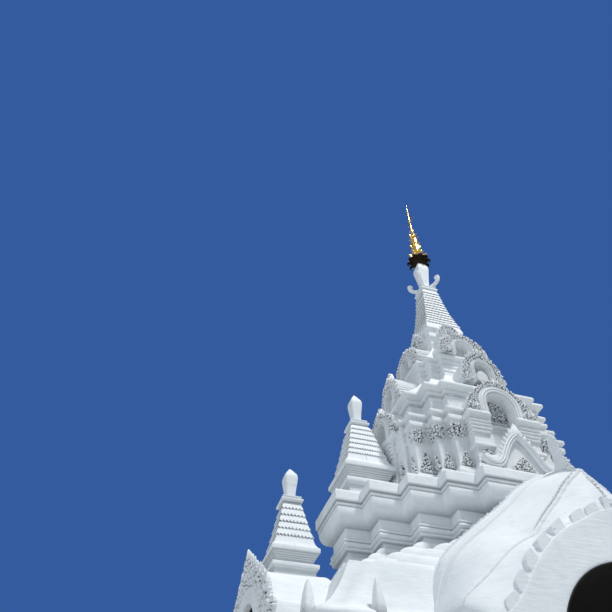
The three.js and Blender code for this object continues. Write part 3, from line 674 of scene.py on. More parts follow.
course = arr([(0, 0), (0.25, 0.42), (0.5, 0.72), (0.78, 0.93)])
courses = 5
steps = ((course + np.arange(courses)[:, None, None]) / courses).reshape(-1, 2)
course_plans = arr(BREAK_PLAN) + (arr(CORNICE_PLAN) - 200 - arr(BREAK_PLAN)) * steps[:, :1, None]
heights = BREAK_HEIGHT - 4 + steps[:, 1] * (COURSE_TOP - BREAK_HEIGHT + 8)
course_walls = around(course_plans, np.stack([0 * heights, heights], -1), bite=16)
piece("courses_plaster", [course_walls], WHITE, ["courses"], angle=60)

skirt = rounded([
    (2740, 1510, EAVES), (2800, 1570, 4146), (2800, 1570, 4205), (2682, 1475, 4270), (2590, 1401, 4363),
    (2449, 1301, 4580), (2335, 1228, BREAK_HEIGHT + 3)])
unit = square_ring(40)
unit = unit * (1 - 0.006 * (np.abs(unit).min(1) > 0.9))[:, None]
outside = np.concatenate([unit * skirt[:, None, :2], skirt[:, None, 2:] + 0 * unit[:, :1]], -1)
inside = outside[::-1].copy()
inside[..., :2] = unit * (2100, 870)
inside[..., 2] = np.clip(inside[..., 2], EAVES, BREAK_HEIGHT - 1)

# Over the wings' windows and over the passage the ring is pressed flat, clear of the arches below

shell = np.concatenate([outside, inside, outside[:1]])
far_x, far_y = np.abs(shell[..., 0]), np.abs(shell[..., 1])
over_window, over_passage = (far_x > 2090) & (far_y < 560), (far_y > 860) & (far_x < 1220)
underside = np.where(over_window, 4822, np.where(over_passage, 4600, EAVES))
shell[..., 2] = underside + (shell[..., 2] - EAVES) * (4840 - underside) / (4840 - EAVES)

ANTEFIX = [
    (2, 4130), (66, 4140), (72, 4156), (70, 4200), (66, 4260), (59, 4320), (50, 4380), (38, 4440), (24, 4494),
    (10, 4530), (2, 4540)]
bud, bud_faces = lathe(rounded(ANTEFIX), 24, lobes=6, depth=0.07)
# Each bud is darker towards its foot.
bud[:, 3] = 0.5 * clamp((4290 - bud[:, 2]) / 110)
bud_places = [(sx * x, sy * y) for x, y in ((2176, 1516), (2775, 1331)) for sx, sy in QUADRANTS]
buds = [moved((bud, bud_faces), x, y) for x, y in bud_places]
piece("lower_roof", [grid(shell, capped=False)] + buds, WHITE,
      [f"skirt_roof_{face}_{end}" for face in FACES for end in ENDS], angle=45)


# Great cornice

def bead(offset, low, high):
    """A half round standing out of a wall between two heights."""
    r = (high - low) / 2
    return [(offset + r * np.sin(t), (low + high) / 2 - r * np.cos(t), 0) for t in np.linspace(0, np.pi, 7)]


def ovolo(offset0, low, offset1, high):
    """A bulging quarter of an ellipse, from its underside to its upright top, with painted shade on its
    underside.
    """
    reach, rise, turns = offset1 - offset0, high - low, np.linspace(0, np.pi / 2, 9)
    return [(offset0 + reach * np.sin(t), high - rise * np.cos(t), 0.25 * np.cos(t) ** 6) for t in turns]


# Third numbers darken the undersides of lips and the grooves: painted shade, with grime in the grooves.
cornice_profile = [
    (-200, COURSE_TOP, 0.1), (-200, 5484, 0), (-190, 5492, 0.5), (-156, 5496, 0.1), (-148, 5504, 0),
    (-148, 5522, 0), (-158, 5530, 0.4), *bead(-156, 5534, 5594), (-148, 5600, 0.4), (-134, 5604, 0),
    (-134, 5626, 0), (-146, 5634, 0.2), (-166, 5640, 0.45), (-168, 5654, 0), (-168, 5764, 0),
    (-164, 5778, 0.5), *ovolo(-150, 5786, -28, 5970), (-34, 5980, 0.5), (-20, 5988, 0.1), (-20, 6020, 0),
    (-28, 6030, 0.6), (-26, 6038, 0.5), (-4, 6043, 0.15), (0, 6052, 0), (0, 6172, 0), (-14, 6190, 0),
    (-60, 6214, 0), (-320, 6218, 0)]
cornice = around(CORNICE_PLAN, soften(cornice_profile))
piece("great_cornice_plaster", [cornice], WHITE, ["great_cornice"], angle=38)


# Porch roofs

GABLE_FRONT = [
    (0, 5690), (98, 5596), (222, 5490), (402, 5263), (554, 5110), (704, 4934), (768, 4852), (875, 4789),
    (1034, 4703), (1214, 4541), (1371, 4383), (1690, 4118), (1680, 3990), (1500, 3840)]
GABLE_REAR = [
    (0, 6090), (130, 6000), (300, 5872), (450, 5722), (600, 5583), (780, 5445), (980, 5280), (1150, 5140),
    (1300, 5000), (1411, 4860), (1500, 4640), (1610, 4230), (1610, 4000), (1500, 3840)]
HOOD = [
    (0, 5128), (70, 5102), (190, 5064), (320, 4990), (480, 4914), (634, 4827), (818, 4677), (910, 4588),
    (1001, 4492), (1164, 4265), (1340, 4062), (1540, 3920), (1580, 3840), (1500, 3780)]
UNDER_HALF = 1100
RIM_OUT, SECOND_ROLL_OUT, BAND_OUT, TEETH_OUT = 2104, 2062, 1440, 1338
STATIONS = [
    (2332, -1.0), (2324, -0.93), (2310, -0.8), (2282, -0.64), (2228, -0.42), (2160, -0.18), (2106, 0.0),
    (2040, 0.1), (1950, 0.26), (1817, 0.49), (1689, 0.65), (1570, 0.76), (1510, 0.80), (1440, 0.91),
    (1390, 0.96), (1335, 1.0), (1080, 1.0)]


def roof_sheet(out, share, thin=False):
    """A section of the porch roof, an arch shape outside and round over the vault inside.

    share runs from -1 at the hood over 0 at the gable's edge to 1 at the cornice; a thin one is empty."""
    half = arr(GABLE_FRONT) + (arr(GABLE_REAR if share >= 0 else HOOD) - GABLE_FRONT) * abs(share)
    line = both(smooth(half, 60))
    turn = np.linspace(np.pi - 0.24, 0.24, len(line))
    under = np.stack([UNDER_HALF * np.cos(turn), DOOR_SPRING + UNDER_HALF * np.sin(turn)], -1)
    return np.insert(np.concatenate([line, (line if thin else under)[::-1]]), 1, out, axis=1)


def sheets(section, stations):
    """A roof through its stations, with a section of no thickness at each end."""
    middle = [section(*station) for station in stations]
    ends = [section(*stations[k], thin=True) for k in (0, -1)]
    return grid(np.stack([ends[0], *middle, ends[1]]), capped=False)


# A rough rim, a second roll that dies out, leaves between them, a band behind, and teeth on the rear edge

front_line = smooth(GABLE_FRONT[:12], 120)
rear_line = smooth(GABLE_REAR[:10], 110)
band_line = smooth((arr(GABLE_FRONT) + 9 * arr(GABLE_REAR))[:13] / 10, 110)
t = np.linspace(0, 1, 120)
rough = 1 + 0.16 * np.sin(t * 190) * np.sin(t * 77 + 1) + 0.1 * np.sin(t * 311)
upper = clamp((0.62 - t) / 0.2)
ending = np.clip((1 - t) / 0.12, 0.08, 1)
fading = np.clip(np.linspace(2.5, 0, 50), 0.1, 1)
roof_parts = [sheets(roof_sheet, STATIONS)]
for way in WAYS:
    rim_half, rim_thick = (17 + 9 * upper) * rough, (13 + 5 * upper) * rough * ending
    roof_parts.append(roll(front_line * (way, 1) + (0, 2), rim_half, rim_thick, RIM_OUT, sides=8))
    second_line = front_line[4:54] * (way, 1) + (way * 34, 30)
    roof_parts.append(roll(second_line, 11 * rough[4:54] * fading, 8, SECOND_ROLL_OUT))
    roof_parts.append(roll(band_line * (way, 1), 13 * rough[:110], 11, BAND_OUT))
    for k, (a, z) in enumerate(front_line[5:50:3]):
        root, tip = (way * a, z - 2), (way * (a + 22), z + 52 - 2 * k)
        roof_parts.append(leaf(root, tip, 26, 10, RIM_OUT - 22 - 4 * (k % 2), curl=0.5 * way, count=6))
    for k, (a, z) in enumerate(rear_line):
        size = 15 + 17 * np.sin(k * 2.3) ** 2 * np.sin(k * 0.41 + 1) ** 2
        root, tip = (way * a, z - 12), (way * (a + 0.5 * size), z + size)
        roof_parts.append(leaf(root, tip, 19, 9, TEETH_OUT, curl=0.2, count=4))

# Crest on the ridge: a tall pointed leaf and a broken row of curled ones before it, as height, front and rear

CREST = [
    (5130, 2352, 2300), (5250, 2316, 2270), (5350, 2280, 2240), (5450, 2238, 2200), (5525, 2204, 2150),
    (5600, 2150, 2100), (5700, 2086, 1900), (5740, 2058, 1800), (5800, 2020, 1730), (5860, 1990, 1700),
    (5900, 1962, 1716), (5967, 1940, 1772), (6044, 1934, 1786), (6142, 1932, 1774), (6193, 1926, 1766),
    (6250, 1908, 1772), (6300, 1886, 1800), (6340, 1862, 1836), (6363, 1850, 1848)]
crest_z, crest_front, crest_rear = dense(CREST, 12).T
notch = np.abs(np.sin(np.pi * crest_z / 57)) ** 0.6 * clamp((6350 - crest_z) / 100)


def crest_face(y, z):
    """Half thickness of the crest: thick at the middle of its width, carved with leaves."""
    middle, half = (y[:, :1] + y[:, -1:]) / 2, np.maximum(np.abs(y[:, -1:] - y[:, :1]) / 2, 1)
    swell = dome((y - middle) / half)
    rise, hollow = foliage(y + 4000, z, 62, 3.0)
    depth = np.clip((5900 - z) / 120, 0.1, 0.8)
    # The second number is painted shade in the carving's pits.
    return 3 + swell * (12 + 8 * rise * depth), 0.7 * hollow * depth * clamp(swell * 2)


crest = panel(crest_z, 16 - 26 * notch - crest_front, 20 * notch - 8 - crest_rear, crest_face, 0, 22)
crest = on_side([crest], "right") + on_side([crest], "right")
crest[1] = flipped(crest[1], x=-1)
for side, way in zip(FACES, (1, -1)):
    piece("porch_roof_plaster_" + side, on_side(roof_parts, side) + [flipped(p, y=way) for p in crest], WHITE,
          ["porch_roof_" + side], angle=40)


# Portal arches with crockets

PORTAL = [
    (0, 5115), (70, 5090), (190, 5052), (320, 4978), (634, 4815), (818, 4665), (1001, 4480), (1164, 4253),
    (1311, 4061), (1411, 3967), (1500, 3920), (1500, 3590)]
CROCKET = arr([
    (-8, -40), (4, 14), (14, 42), (27, 64), (46, 79), (72, 86), (130, 90), (204, 87), (196, 60), (180, 22),
    (160, -40)])
CROCKET_HEIGHTS = (5085, 4985, 4885, 4722, 4540, 4345, 4142, 3965)
PORTAL_EDGE, PORTAL_BACK, LINING_FACE = 2336, 870, 2342
LINING_GAPS = (-8, 2)


def portal_face(u, v, s):
    """The face stands at 2349 and falls off by 13 mm in its last 12 mm at both edges."""
    return PORTAL_EDGE + 13 * clamp(np.minimum(v, v.max(1, keepdims=True) - v) / 12), 0


door = arch_line(DOOR_HALF, DOOR_SPRING, DOOR_SPRING - 2, 121)
shares = np.r_[0, 0.012, 0.024, np.linspace(0.05, 0.95, 10), 0.976, 0.988, 1]
portal = [band(door, outline(PORTAL, len(door)), portal_face, PORTAL_BACK, shares)]
rim = outline(PORTAL[:11], 200)
rim_along, rim_out = directions(rim)
for height in CROCKET_HEIGHTS:
    for way in WAYS:
        k = int(np.argmin(np.abs(rim[:, 1] - height) + 1e4 * (rim[:, 0] * way < 0)))
        upwards = rim_along[k] * (1 if rim_along[k, 1] > 0 else -1)
        ring = rim[k] + CROCKET[:, :1] * upwards + CROCKET[:, 1:] * rim_out[k]
        ring = soften(np.concatenate([ring, ring[:1]]), 5, reach=1e4)[:-1]
        middle = ring.mean(0)
        rings = [np.insert(middle + (ring - middle) * share, 1, plane, axis=1)
                 for plane, share in ((2150, 1.0), (2334, 1.0), (2341, 0.985), (2344, 0.955))]
        portal.append(grid(np.stack(rings)))

# Near-black lining of the vault and of the walls below it: painted shade for the dark passage

lining_edges = [arch_line(DOOR_HALF + gap, DOOR_SPRING, FLOOR_TOP, 120) for gap in LINING_GAPS]
vault_lining = band(*lining_edges, lambda u, v, s: (LINING_FACE, 0), PORTAL_BACK + 2, 3)
for side in FACES:
    side_piece(side, "portal", portal, WHITE, "porch_arch", angle=40)
    side_piece(side, "vault_lining", [vault_lining], SHADE_BLACK, angle=40, loose=False)


# Turrets

# Third numbers paint shade into the grooves and under the mouldings.
TURRET_FOOT = [
    (250, 0, 0), (250, 138, 0.3), (257, 143, 0.3), (258, 154, 0), (270, 160, 0.3), (285, 170, 0),
    (287, 222, 0), (282, 227, 0), (244, 234, 0), (234, 244, 0.5), (232, 292, 0.2), (241, 297, 0),
    (242, 312, 0.5), (252, 318, 0), (253, 336, 0.5), (264, 344, 0), (267, 362, 0.5), (278, 368, 0),
    (280, 386, 0.5), (297, 394, 0.1), (300, 400, 0), (300, 456, 0), (297, 462, 0), (284, 474, 0),
    (264, 508, 0), (248, 550, 0), (238, 596, 0)]
TURRET_ROOF = [
    (238, 596), (215, 700), (193, 810), (172, 920), (152, 1030), (133, 1140), (112, 1240), (88, 1290)]
TURRET_COLLAR = [
    (92, 1284, 0.4), (112, 1292, 0), (121, 1306, 0), (121, 1334, 0), (106, 1342, 0.3), (92, 1350, 0.5),
    (98, 1358, 0.1), (104, 1366, 0), (104, 1386, 0), (76, 1396, 0), (54, 1404, 0.4)]
TURRET_BUD = [
    (52, 1404), (54, 1470), (60, 1560), (69, 1650), (75, 1720), (76, 1766), (70, 1802), (43, 1868),
    (15, 1930), (4, 1950)]
EAVE_HALF, PEDESTAL, TURRET_TOP = 300, 430, 1950


def tile_rows(low, high, count, thick, pitch, notch):
    """Relief of tile courses: each is thickest at its lower edge, where it has teeth or scallops."""
    def relief(a, z, half):
        row = (z - low) / (high - low) * count
        k = np.floor(row)
        column = a / pitch + 0.5 * np.mod(k, 2)
        inside = (row > 0) & (row < count)
        on = inside & (row - k > notch(np.abs(2 * (column - np.floor(column)) - 1)))
        # Below each course's edge and between the teeth, the roof is painted shaded.
        return np.where(on, thick * (1.05 - row + k), 0), np.where(inside & ~on, 0.75, 0.0)
    return relief


def teeth_notch(across):
    return 0.16 * (across > 0.55)


def scallop_notch(across):
    return 0.34 * (1 - dome(across))


def cut_corners(a, z, half):
    return -0.09 * half * (np.abs(a) / half) ** 6, 0


def turret(foot, eave_half, pedestal, roof, rows, pitch, notch, head_size=1.0):
    """A square turret: moulded foot, overhanging roof of tile courses, double collar and a shouldered bud."""
    def scaled(profile, head=1.0):
        profile = arr(profile)
        z = profile[:, 1]
        upper = pedestal + (z - PEDESTAL) * roof / (TURRET_TOP - PEDESTAL)
        z = np.where(z <= PEDESTAL, z * pedestal / PEDESTAL, upper)
        wide = eave_half / EAVE_HALF * head
        return np.concatenate([profile[:, :1] * wide, foot + z[:, None], profile[:, 2:]], -1)

    low, high = scaled([(0, 640), (0, 1270)])[:, 1]
    tiles = tile_rows(low, high, rows, 14, pitch, notch)
    collar = soften(arr(TURRET_COLLAR) * (head_size, 1, 1))
    return [square(scaled(soften(TURRET_FOOT, 3)), None, 12),
            square(scaled(dense(TURRET_ROOF, 10)), tiles, 72),
            square(scaled(collar), None, 8),
            square(scaled(dense(TURRET_BUD, 24), head_size), cut_corners, 12)]


TURRETS = (("cornice_turret", 1583, turret(CORNICE_TOP, 341, 428, 1414, 6, 34, teeth_notch)),
           ("wing_turret", 2556, turret(WING_RIDGE, 281, 345, 1204, 5, 40, scallop_notch, 1.2)))
for end, way in zip(ENDS, WAYS):
    for name, out, patches in TURRETS:
        patches = [moved(patch, way * out) for patch in patches]
        piece(f"{name}_plaster_{end}", patches, WHITE, [f"{name}_{end}"], angle=32)


# Spire with curled leaves at its collar's corners, and its bud

SPIRE_FOOT = [
    (288, 9400), (288, 9494), (296, 9502), (302, 9520), (318, 9532), (325, 9548), (325, 9588), (320, 9600),
    (308, 9650), (300, 9690), (298, 9700)]
SPIRE_ROOF = [(298, 9700), (262, 9840), (224, 10028), (193, 10228), (167, 10428), (148, 10606), (136, 10740)]
# Third numbers paint shade into the grooves and under the mouldings.
SPIRE_COLLAR = [
    (118, 10736, 0.5), (122, 10752, 0.3), (138, 10762, 0), (154, 10772, 0), (154, 10804, 0),
    (138, 10812, 0.4), (118, 10822, 0.7), (124, 10834, 0.2), (140, 10842, 0), (140, 10864, 0),
    (118, 10874, 0.5), (108, 10882, 0.2), (104, 10905, 0)]
BUD = [
    (96, 10905), (78, 10925), (71, 10960), (76, 11060), (88, 11180), (101, 11300), (111, 11390), (113, 11420),
    (108, 11470), (86, 11530), (60, 11596), (52, 11600)]

horn_path = rounded([(96, 10880), (150, 10925), (214, 10965), (264, 11026), (268, 11076), (258, 11118)], 3)
share = np.linspace(0, 1, len(horn_path))
horn_half = 48 - 14 * np.sin(np.pi * clamp(share * 1.15)) + 4 * np.exp(-((share - 0.9) / 0.1) ** 2)
horn_half[-3:] *= (0.86, 0.62, 0.25)
horns = quarters(roll(horn_path, horn_half, horn_half * 1.05, 0, sides=12), TAU / 8)
scales = tile_rows(9700, 10710, 13, 17, 62, scallop_notch)
piece("spire_plaster", [square(soften(SPIRE_FOOT, 5), None, 12), square(dense(SPIRE_ROOF, 9), scales, 64),
                        square(soften(SPIRE_COLLAR), None, 8)] + horns, WHITE, ["spire_roof"], angle=32)


def bud_shape(a, z, half):
    """Corners taken off, and each face hollowed a little towards its middle."""
    x = np.abs(a) / half
    return half * (-0.07 * x ** 6 - 0.03 * (1 - x ** 2)), 0


piece("bud_plaster", [square(dense(BUD, 26), bud_shape, 16)], WHITE, ["lotus_bud"], angle=32)


# Gilded finial: crowns of curled leaves on a turned stem, then a rod with small vanes

# Third numbers paint shade on the stem's undersides and in its necks.
STEM = [
    (3, 11588, 1), (60, 11592, 1), (112, 11606, 1), (126, 11640, 1), (148, 11680, 1), (176, 11716, 1),
    (184, 11734, 0.9), (176, 11752, 0.2), (128, 11776, 0), (84, 11800, 0.2), (54, 11822, 0.8),
    (50, 11846, 0.6), (58, 11880, 0), (72, 11930, 0), (79, 12000, 0), (79, 12080, 0), (72, 12160, 0),
    (60, 12214, 0), (52, 12234, 0.9), (66, 12248, 0.6), (68, 12264, 0), (60, 12290, 0), (66, 12330, 0),
    (60, 12390, 0), (46, 12440, 0), (40, 12460, 0.7), (52, 12476, 0), (48, 12510, 0), (34, 12560, 0),
    (26, 12600, 0.4), (32, 12622, 0), (28, 12650, 0), (18, 12690, 0), (17, 12716, 0)]
SPIKE = [
    (15, 12700), (15, 12760), (11, 12860), (12, 12960), (24, 12990), (27, 13012), (22, 13036), (11, 13062),
    (9, 13200), (8, 13270), (14, 13296), (16, 13310), (13, 13330), (8, 13346), (6, 13450), (3, 13560),
    (1.5, 13600)]

# Radius, foot, rise, count, spread, painted shade and weight of each crown; height, reach, turn, count of
# each vane

CROWNS = (
    (120, 11760, 110, 8, 56, 0.15, 1.5), (78, 11900, 96, 6, 44, 0, 1.2), (72, 12110, 96, 6, 40, 0, 1.1),
    (56, 12370, 84, 6, 34, 0, 1.0), (44, 12490, 80, 5, 32, 0, 0.9), (24, 12660, 66, 4, 24, 0, 0.8))
VANES = (
    (12800, 62, 0.3, 2), (12925, 96, 2.7, 1), (12960, 58, 1.2, 2), (13080, 52, 5.9, 1), (13160, 88, 5.7, 1),
    (13190, 40, 2.2, 1))

hanging = rounded([(120, 11650), (168, 11700), (196, 11730), (214, 11706), (204, 11668), (188, 11640)], 2)
half = 5 + 15 * np.sin(np.pi * clamp(0.15 + np.linspace(0, 0.83, len(hanging))))
V, F = roll(hanging, half * 0.7, half * 1.5, 0, sides=8)
# The hanging leaves are painted shaded below the crown's rim.
V[:, 3] = clamp((11745 - V[:, 2]) / 20)
gold_plates = [lathe(rounded(STEM), 40, lobes=10, depth=0.03)] + quarters((V, F), 0.1, 10)
for n, (radius, foot, rise, count, spread, hollow, heavy) in enumerate(CROWNS):
    path = rounded([(radius - 16, foot), (radius + 0.2 * spread, foot + 0.45 * rise),
                    (radius + 0.5 * spread, foot + 0.9 * rise), (radius + spread, foot + rise),
                    (radius + 1.1 * spread, foot + 0.74 * rise)], 2)
    half = heavy * (3 + 8 * np.sin(np.pi * clamp(np.linspace(0.1, 1, len(path)))))
    V, F = roll(path, half * 0.7, half * 1.2, 0)
    V[:, 3] = hollow
    gold_plates += quarters((V, F), 0.45 * n, count)
gold_rod = [lathe(rounded(SPIKE), 16)]
for height, reach, turn_by, count in VANES:
    arm = roll([(-6, height), (reach * 0.5, height + 3), (reach, height - 2)], (6, 6, 5), 6, 0)
    drop = [(reach - 3, height + 10), (reach, height - 6), (reach - 2, height - 22), (reach, height - 34)]
    for V, F in (arm, roll(drop, (2, 10, 11, 2), 5, 0)):
        # The vanes are painted dark all over.
        V[:, 3] = 0.9
        gold_rod += quarters((V, F), turn_by, count)


# Storeys, tiers and their arched gables

def gable(outer, ring, opening, front, back, recess, cell, seed, clump, apex=None, shield=None):
    """An arched gable: carved leaves outside, a ribbed ring, and a hollow with a plate behind it.

    ring and opening are (half width, springing, foot), clump the (across, up, radius) of a carved ball, apex
    the (top, lean back) of a tall leaf, and shield the (half width, middle, half height) of a boss."""
    edge = outline(outer, 210)
    start = arch_line(ring[0] - 6, ring[1], min(ring[2], outer[-1][1]), 210)

    def leaves(u, v, s):
        return carved(2 * s - 1, u, v, cell, seed, front - 12, 22, 26, 2.2, 2.2)

    def ribs(u, v, s):
        swell = clamp(np.sin(np.pi * clamp(s * 1.04))) ** 0.45
        wave = np.cos(TAU * 3.5 * s)
        # The grooves between the ribs are painted shaded.
        return front - 6 + 36 * swell + 6 * wave, 0.3 * (wave < -0.6)

    patches = [band(start, leafy_edge(edge, cell * 1.15, 22), leaves, back, 24),
               band(arch_line(*opening, 90), arch_line(*ring, 90), ribs, back, 19)]
    if recess:
        half, spring, foot = opening
        z = np.linspace(foot - 10, spring + half + 20, 44)
        arched = np.sqrt(np.maximum((half + 12.0) ** 2 - (z - spring) ** 2, 0))
        wide = np.where(z < spring, half + 10.0, arched)

        def plate(a, up):
            out = front - recess
            if shield:
                half, middle, tall = shield
                out = out + recess * 0.86 * clamp((1 - np.hypot(a / half, (up - middle) / tall)) * 6)
            # The plate in the hollow is painted shaded all over, and darker towards its foot.
            return out, 0.12 + 0.6 * clamp(1 - (up - z[0]) / 70)

        patches.append(panel(z, -wide, wide, plate, back, 24))
    a, up, radius = clump
    turns = np.linspace(0.05, 3.09, 22)
    V, F = cushion(np.stack([radius * np.sin(turns), -0.95 * radius * np.cos(turns)], -1), seed + a, 56)
    for way in WAYS:
        patches.append(moved((V * (1, 0.55, 1, 1), F), way * a, front + 6, up))
        x, z = way * (a - 0.9 * radius), up - 0.1 * radius
        patches.append(spiral(x, z, 0.52 * radius, 1.4, way, 10, front + 26, 13))
    for here, after in zip(edge[:-1:14], edge[1::14]):
        out_way = arr([here[1] - after[1], after[0] - here[0]]) / np.linalg.norm(after - here)
        curl = 0.3 * np.sign(here[0] + 1)
        patches.append(leaf(here - out_way * 18, here + out_way * 42, 34, 15, front - 4, curl, 6))
    top = arr(outer[0])
    patches.append(leaf(top - (0, 60), top + (0, 62), 62, 24, front - 2, 0.12, 8))
    if apex:
        reach, lean = apex
        high = np.linspace(top[1] - 170, reach, 40)
        share = (high - high[0]) / (high[-1] - high[0])
        blade_half = 105 * clamp(1 - share) ** 0.62 * clamp(0.7 + share * 1.5)

        def blade(a, z):
            x = np.abs(a) / np.maximum(blade_half[:, None], 1)
            plane = front + 4 - lean * share[:, None]
            return carved(x, a + 200, z, cell * 0.9, seed + 1, plane, 24, 18, 3, 2)

        patches.append(panel(high, -blade_half, blade_half, blade, front - 95, 26))
    return patches


def recessed(plan, levels, foot):
    """The body's plan at each level, with the channel down the middle of its front and back above foot."""
    levels = arr(levels)
    offset = levels[:, :1]
    channel = np.where(levels[:, 1:2] >= foot, 930 - offset, 1080 + 0 * offset)
    plan = np.broadcast_to(arr(plan), (len(levels), len(plan), 2))
    return np.concatenate([plan, np.stack([185 - offset, channel], -1)], 1)


BODY_EDGE = [
    (60, CORNICE_TOP), (60, 6300), (32, 6330), (32, 6362), (0, 6388), (0, 6598), (0, 6600), (0, 6890),
    (22, 6914), (22, 6990)]
CAPITAL = [
    (30, 6818), (58, 6826), (80, 6848), (98, 6882), (112, 6924), (118, 6966), (112, 7002), (94, 7026),
    (62, 7040), (24, 7044)]
CAPITALS = ((600, 905, 104, -6), (826, 796, 92, 0), (1040, 640, 86, 10))
FRONT_BAYS = ((578, 96, 6618, 963), (771, 86, 6645, 850), (988, 112, 6715, 690))
SIDE_BAYS = ((407, 96, 6715, 1170), (602, 80, 6680, 1110), (770, 74, 6640, 862))
BAY_FOOT = 6392
PIER_IN, PIER_OUT, PIER_BACK = 196, 520, 900
END_PIER_HALF, END_PIER_BACK, END_SHIFT = 315, 1100, 150
PIER = [
    (1098, 6604), (1112, 6612), (1122, 6640), (1122, 6676), (1106, 6690), (1082, 6700), (1078, 6706),
    (1078, 6806), (1084, 6812), (1084, 6846)]
for n in range(4):
    x, z = 1072 + 8 * n, 6848 + 51 * n
    PIER += [(x, z), (x + 34, z + 6), (x + 42, z + 20), (x + 34, z + 34), (x, z + 42)]
PIER += [(1100, 7060), (1120, 7068)]

capitals = []
for sx, sy in QUADRANTS:
    for n, (x, y, half, lift) in enumerate(CAPITALS):
        profile = arr(CAPITAL) * (half / 112, 1) + (0, lift)
        capitals.append(moved(cushion(profile, n + 3.0 + sx), sx * x, sy * y))
body_profile = soften(BODY_EDGE, 5)
body_parts = [around(recessed(BODY_PLAN, body_profile, 6599.9), body_profile, 120)]
for side in FACES + ENDS:
    front = side in FACES
    carvings = [motif(way * middle, half, BAY_FOOT, high, plane, seed=n + 2.0) for way in WAYS
                for n, (middle, half, high, plane) in enumerate(FRONT_BAYS if front else SIDE_BAYS)]
    if front:
        for way in WAYS:
            carvings.append(block(way * PIER_IN, way * PIER_OUT, PIER_BACK, soften(PIER)))
            carvings.append(motif(way * 350, 120, BAY_FOOT, 6596, 1082, bulge=30, power=0.5, seed=5.0))
    else:
        pier = soften(arr(PIER) + (END_SHIFT, 0))
        carvings.append(block(-END_PIER_HALF, END_PIER_HALF, END_PIER_BACK, pier))
        for a in (-210, 0, 210):
            carvings.append(motif(a, 92, BAY_FOOT, 6596, 1082 + END_SHIFT, bulge=24, power=0.5, seed=6.0))
    body_parts += on_side(carvings, side)
piece("upper_body_plaster", body_parts, CARVED, ["upper_body"])
piece("upper_body_capitals", capitals, CARVED)

# The storey's cornice: two bands, the large gables, slabs over the piers, and a filigree plate in each recess

B_OUTLINE = [
    (0, 7750), (60, 7738), (150, 7690), (230, 7612), (330, 7530), (395, 7450), (440, 7370), (472, 7290),
    (462, 7210), (420, 7150)]
B_RING, B_OPENING = (322, 7335, 7150), (186, 7335, 7135)
LOWER_BAND = [
    (12, 6982), (20, 6990), (20, 7052), (26, 7062), (40, 7070), (45, 7082), (45, 7142), (36, 7152),
    (-60, 7158)]
UPPER_BAND = [
    (14, 7136), (20, 7142), (20, 7188), (30, 7198), (56, 7204), (65, 7214), (65, 7256), (54, 7270),
    (26, 7288), (-30, 7303)]
LEDGE = [(950, 7090), (974, 7098), (974, 7114), (950, 7122)]
SLAB = [(-26, 7066), (4, 7080), (34, 7092), (46, 7112), (46, 7142), (30, 7168), (-20, 7186)]
RECESS_HALF, PLATE_FOOT = 184, 7114


def filigree(a, z):
    """Pierced leaves, with two rows of dots below them."""
    rise, hollow = foliage(a + 300, z, 52, 8.0)
    dots = np.sin(np.pi * a / 24) ** 2 * (np.sin(np.pi * (z - PLATE_FOOT) / 43) ** 2)
    rows = z < PLATE_FOOT + 86
    # The carving's pits and the gaps between the dots are painted shaded.
    return 948 + np.where(rows, 14 * dots, 24 * rise), np.where(rows, 0.6 * (dots < 0.12), hollow)


cornice_parts = []
for plan, profile in ((BODY_PLAN, soften(LOWER_BAND)), (BODY_PLAN[1:-1], soften(UPPER_BAND))):
    cornice_parts.append(around(recessed(plan, profile, 0), profile, 120))
plate_z = np.linspace(PLATE_FOOT, 7500, 56)
plate_half = RECESS_HALF + 0 * plate_z
recess_parts = [panel(plate_z, -plate_half, plate_half, filigree, PIER_BACK, 54),
                block(-RECESS_HALF, RECESS_HALF, PIER_BACK, soften(LEDGE))]
for side in FACES + ENDS:
    front = side in FACES
    face, deep, recess, apex = (1125, 880, 0, None) if front else (1240, 1000, 165, (7900, 70))
    slab = soften(arr(SLAB) + (face, 0), 6)
    spans = [(way * 188, way * 528) for way in WAYS] if front else [(-470, 470)]
    patches = gable(B_OUTLINE, B_RING, B_OPENING, face, deep, recess, 52, 2.0, (404, 7222, 80), apex)
    patches += [block(*span, PIER_BACK if front else deep, slab, 18) for span in spans] + recess_parts * front
    cornice_parts += on_side(patches, side)
piece("body_cornice_plaster", cornice_parts, CARVED, ["body_cornice"])


def knobs(u, z):
    """A row of small round knobs under the second tier's slab."""
    low, high = 7558, 7600
    inside = (z > low) & (z < high)
    knob = np.abs(np.sin(np.pi * u / 26)) * np.sin(np.pi * clamp((z - low) / (high - low)))
    # The gaps between the knobs are painted shaded.
    return np.where(inside, 13 * knob, 0), np.where(inside & (knob < 0.35), 0.5, 0.0)


def tier_walls(plan, profile, next_plan, top, step, relief):
    """A tier's wall and slab, then its hollow roof drawn in to the next wall."""
    profile, plan, next_plan = arr(profile), arr(plan), arr(next_plan)
    edge, low = profile[-1]
    plans = [plan + offset for offset, _ in profile]
    heights = list(profile[:, 1])
    for way, rise in ((0.2, 0.12), (0.4, 0.3), (0.6, 0.5), (0.8, 0.74), (1, 1)):
        plans.append(plan + edge + (next_plan - plan - edge) * way)
        heights.append(low + (top - low) * rise)
    levels = np.stack([np.zeros(len(heights)), heights], -1)
    return around(np.stack(plans), levels, step, relief=relief)


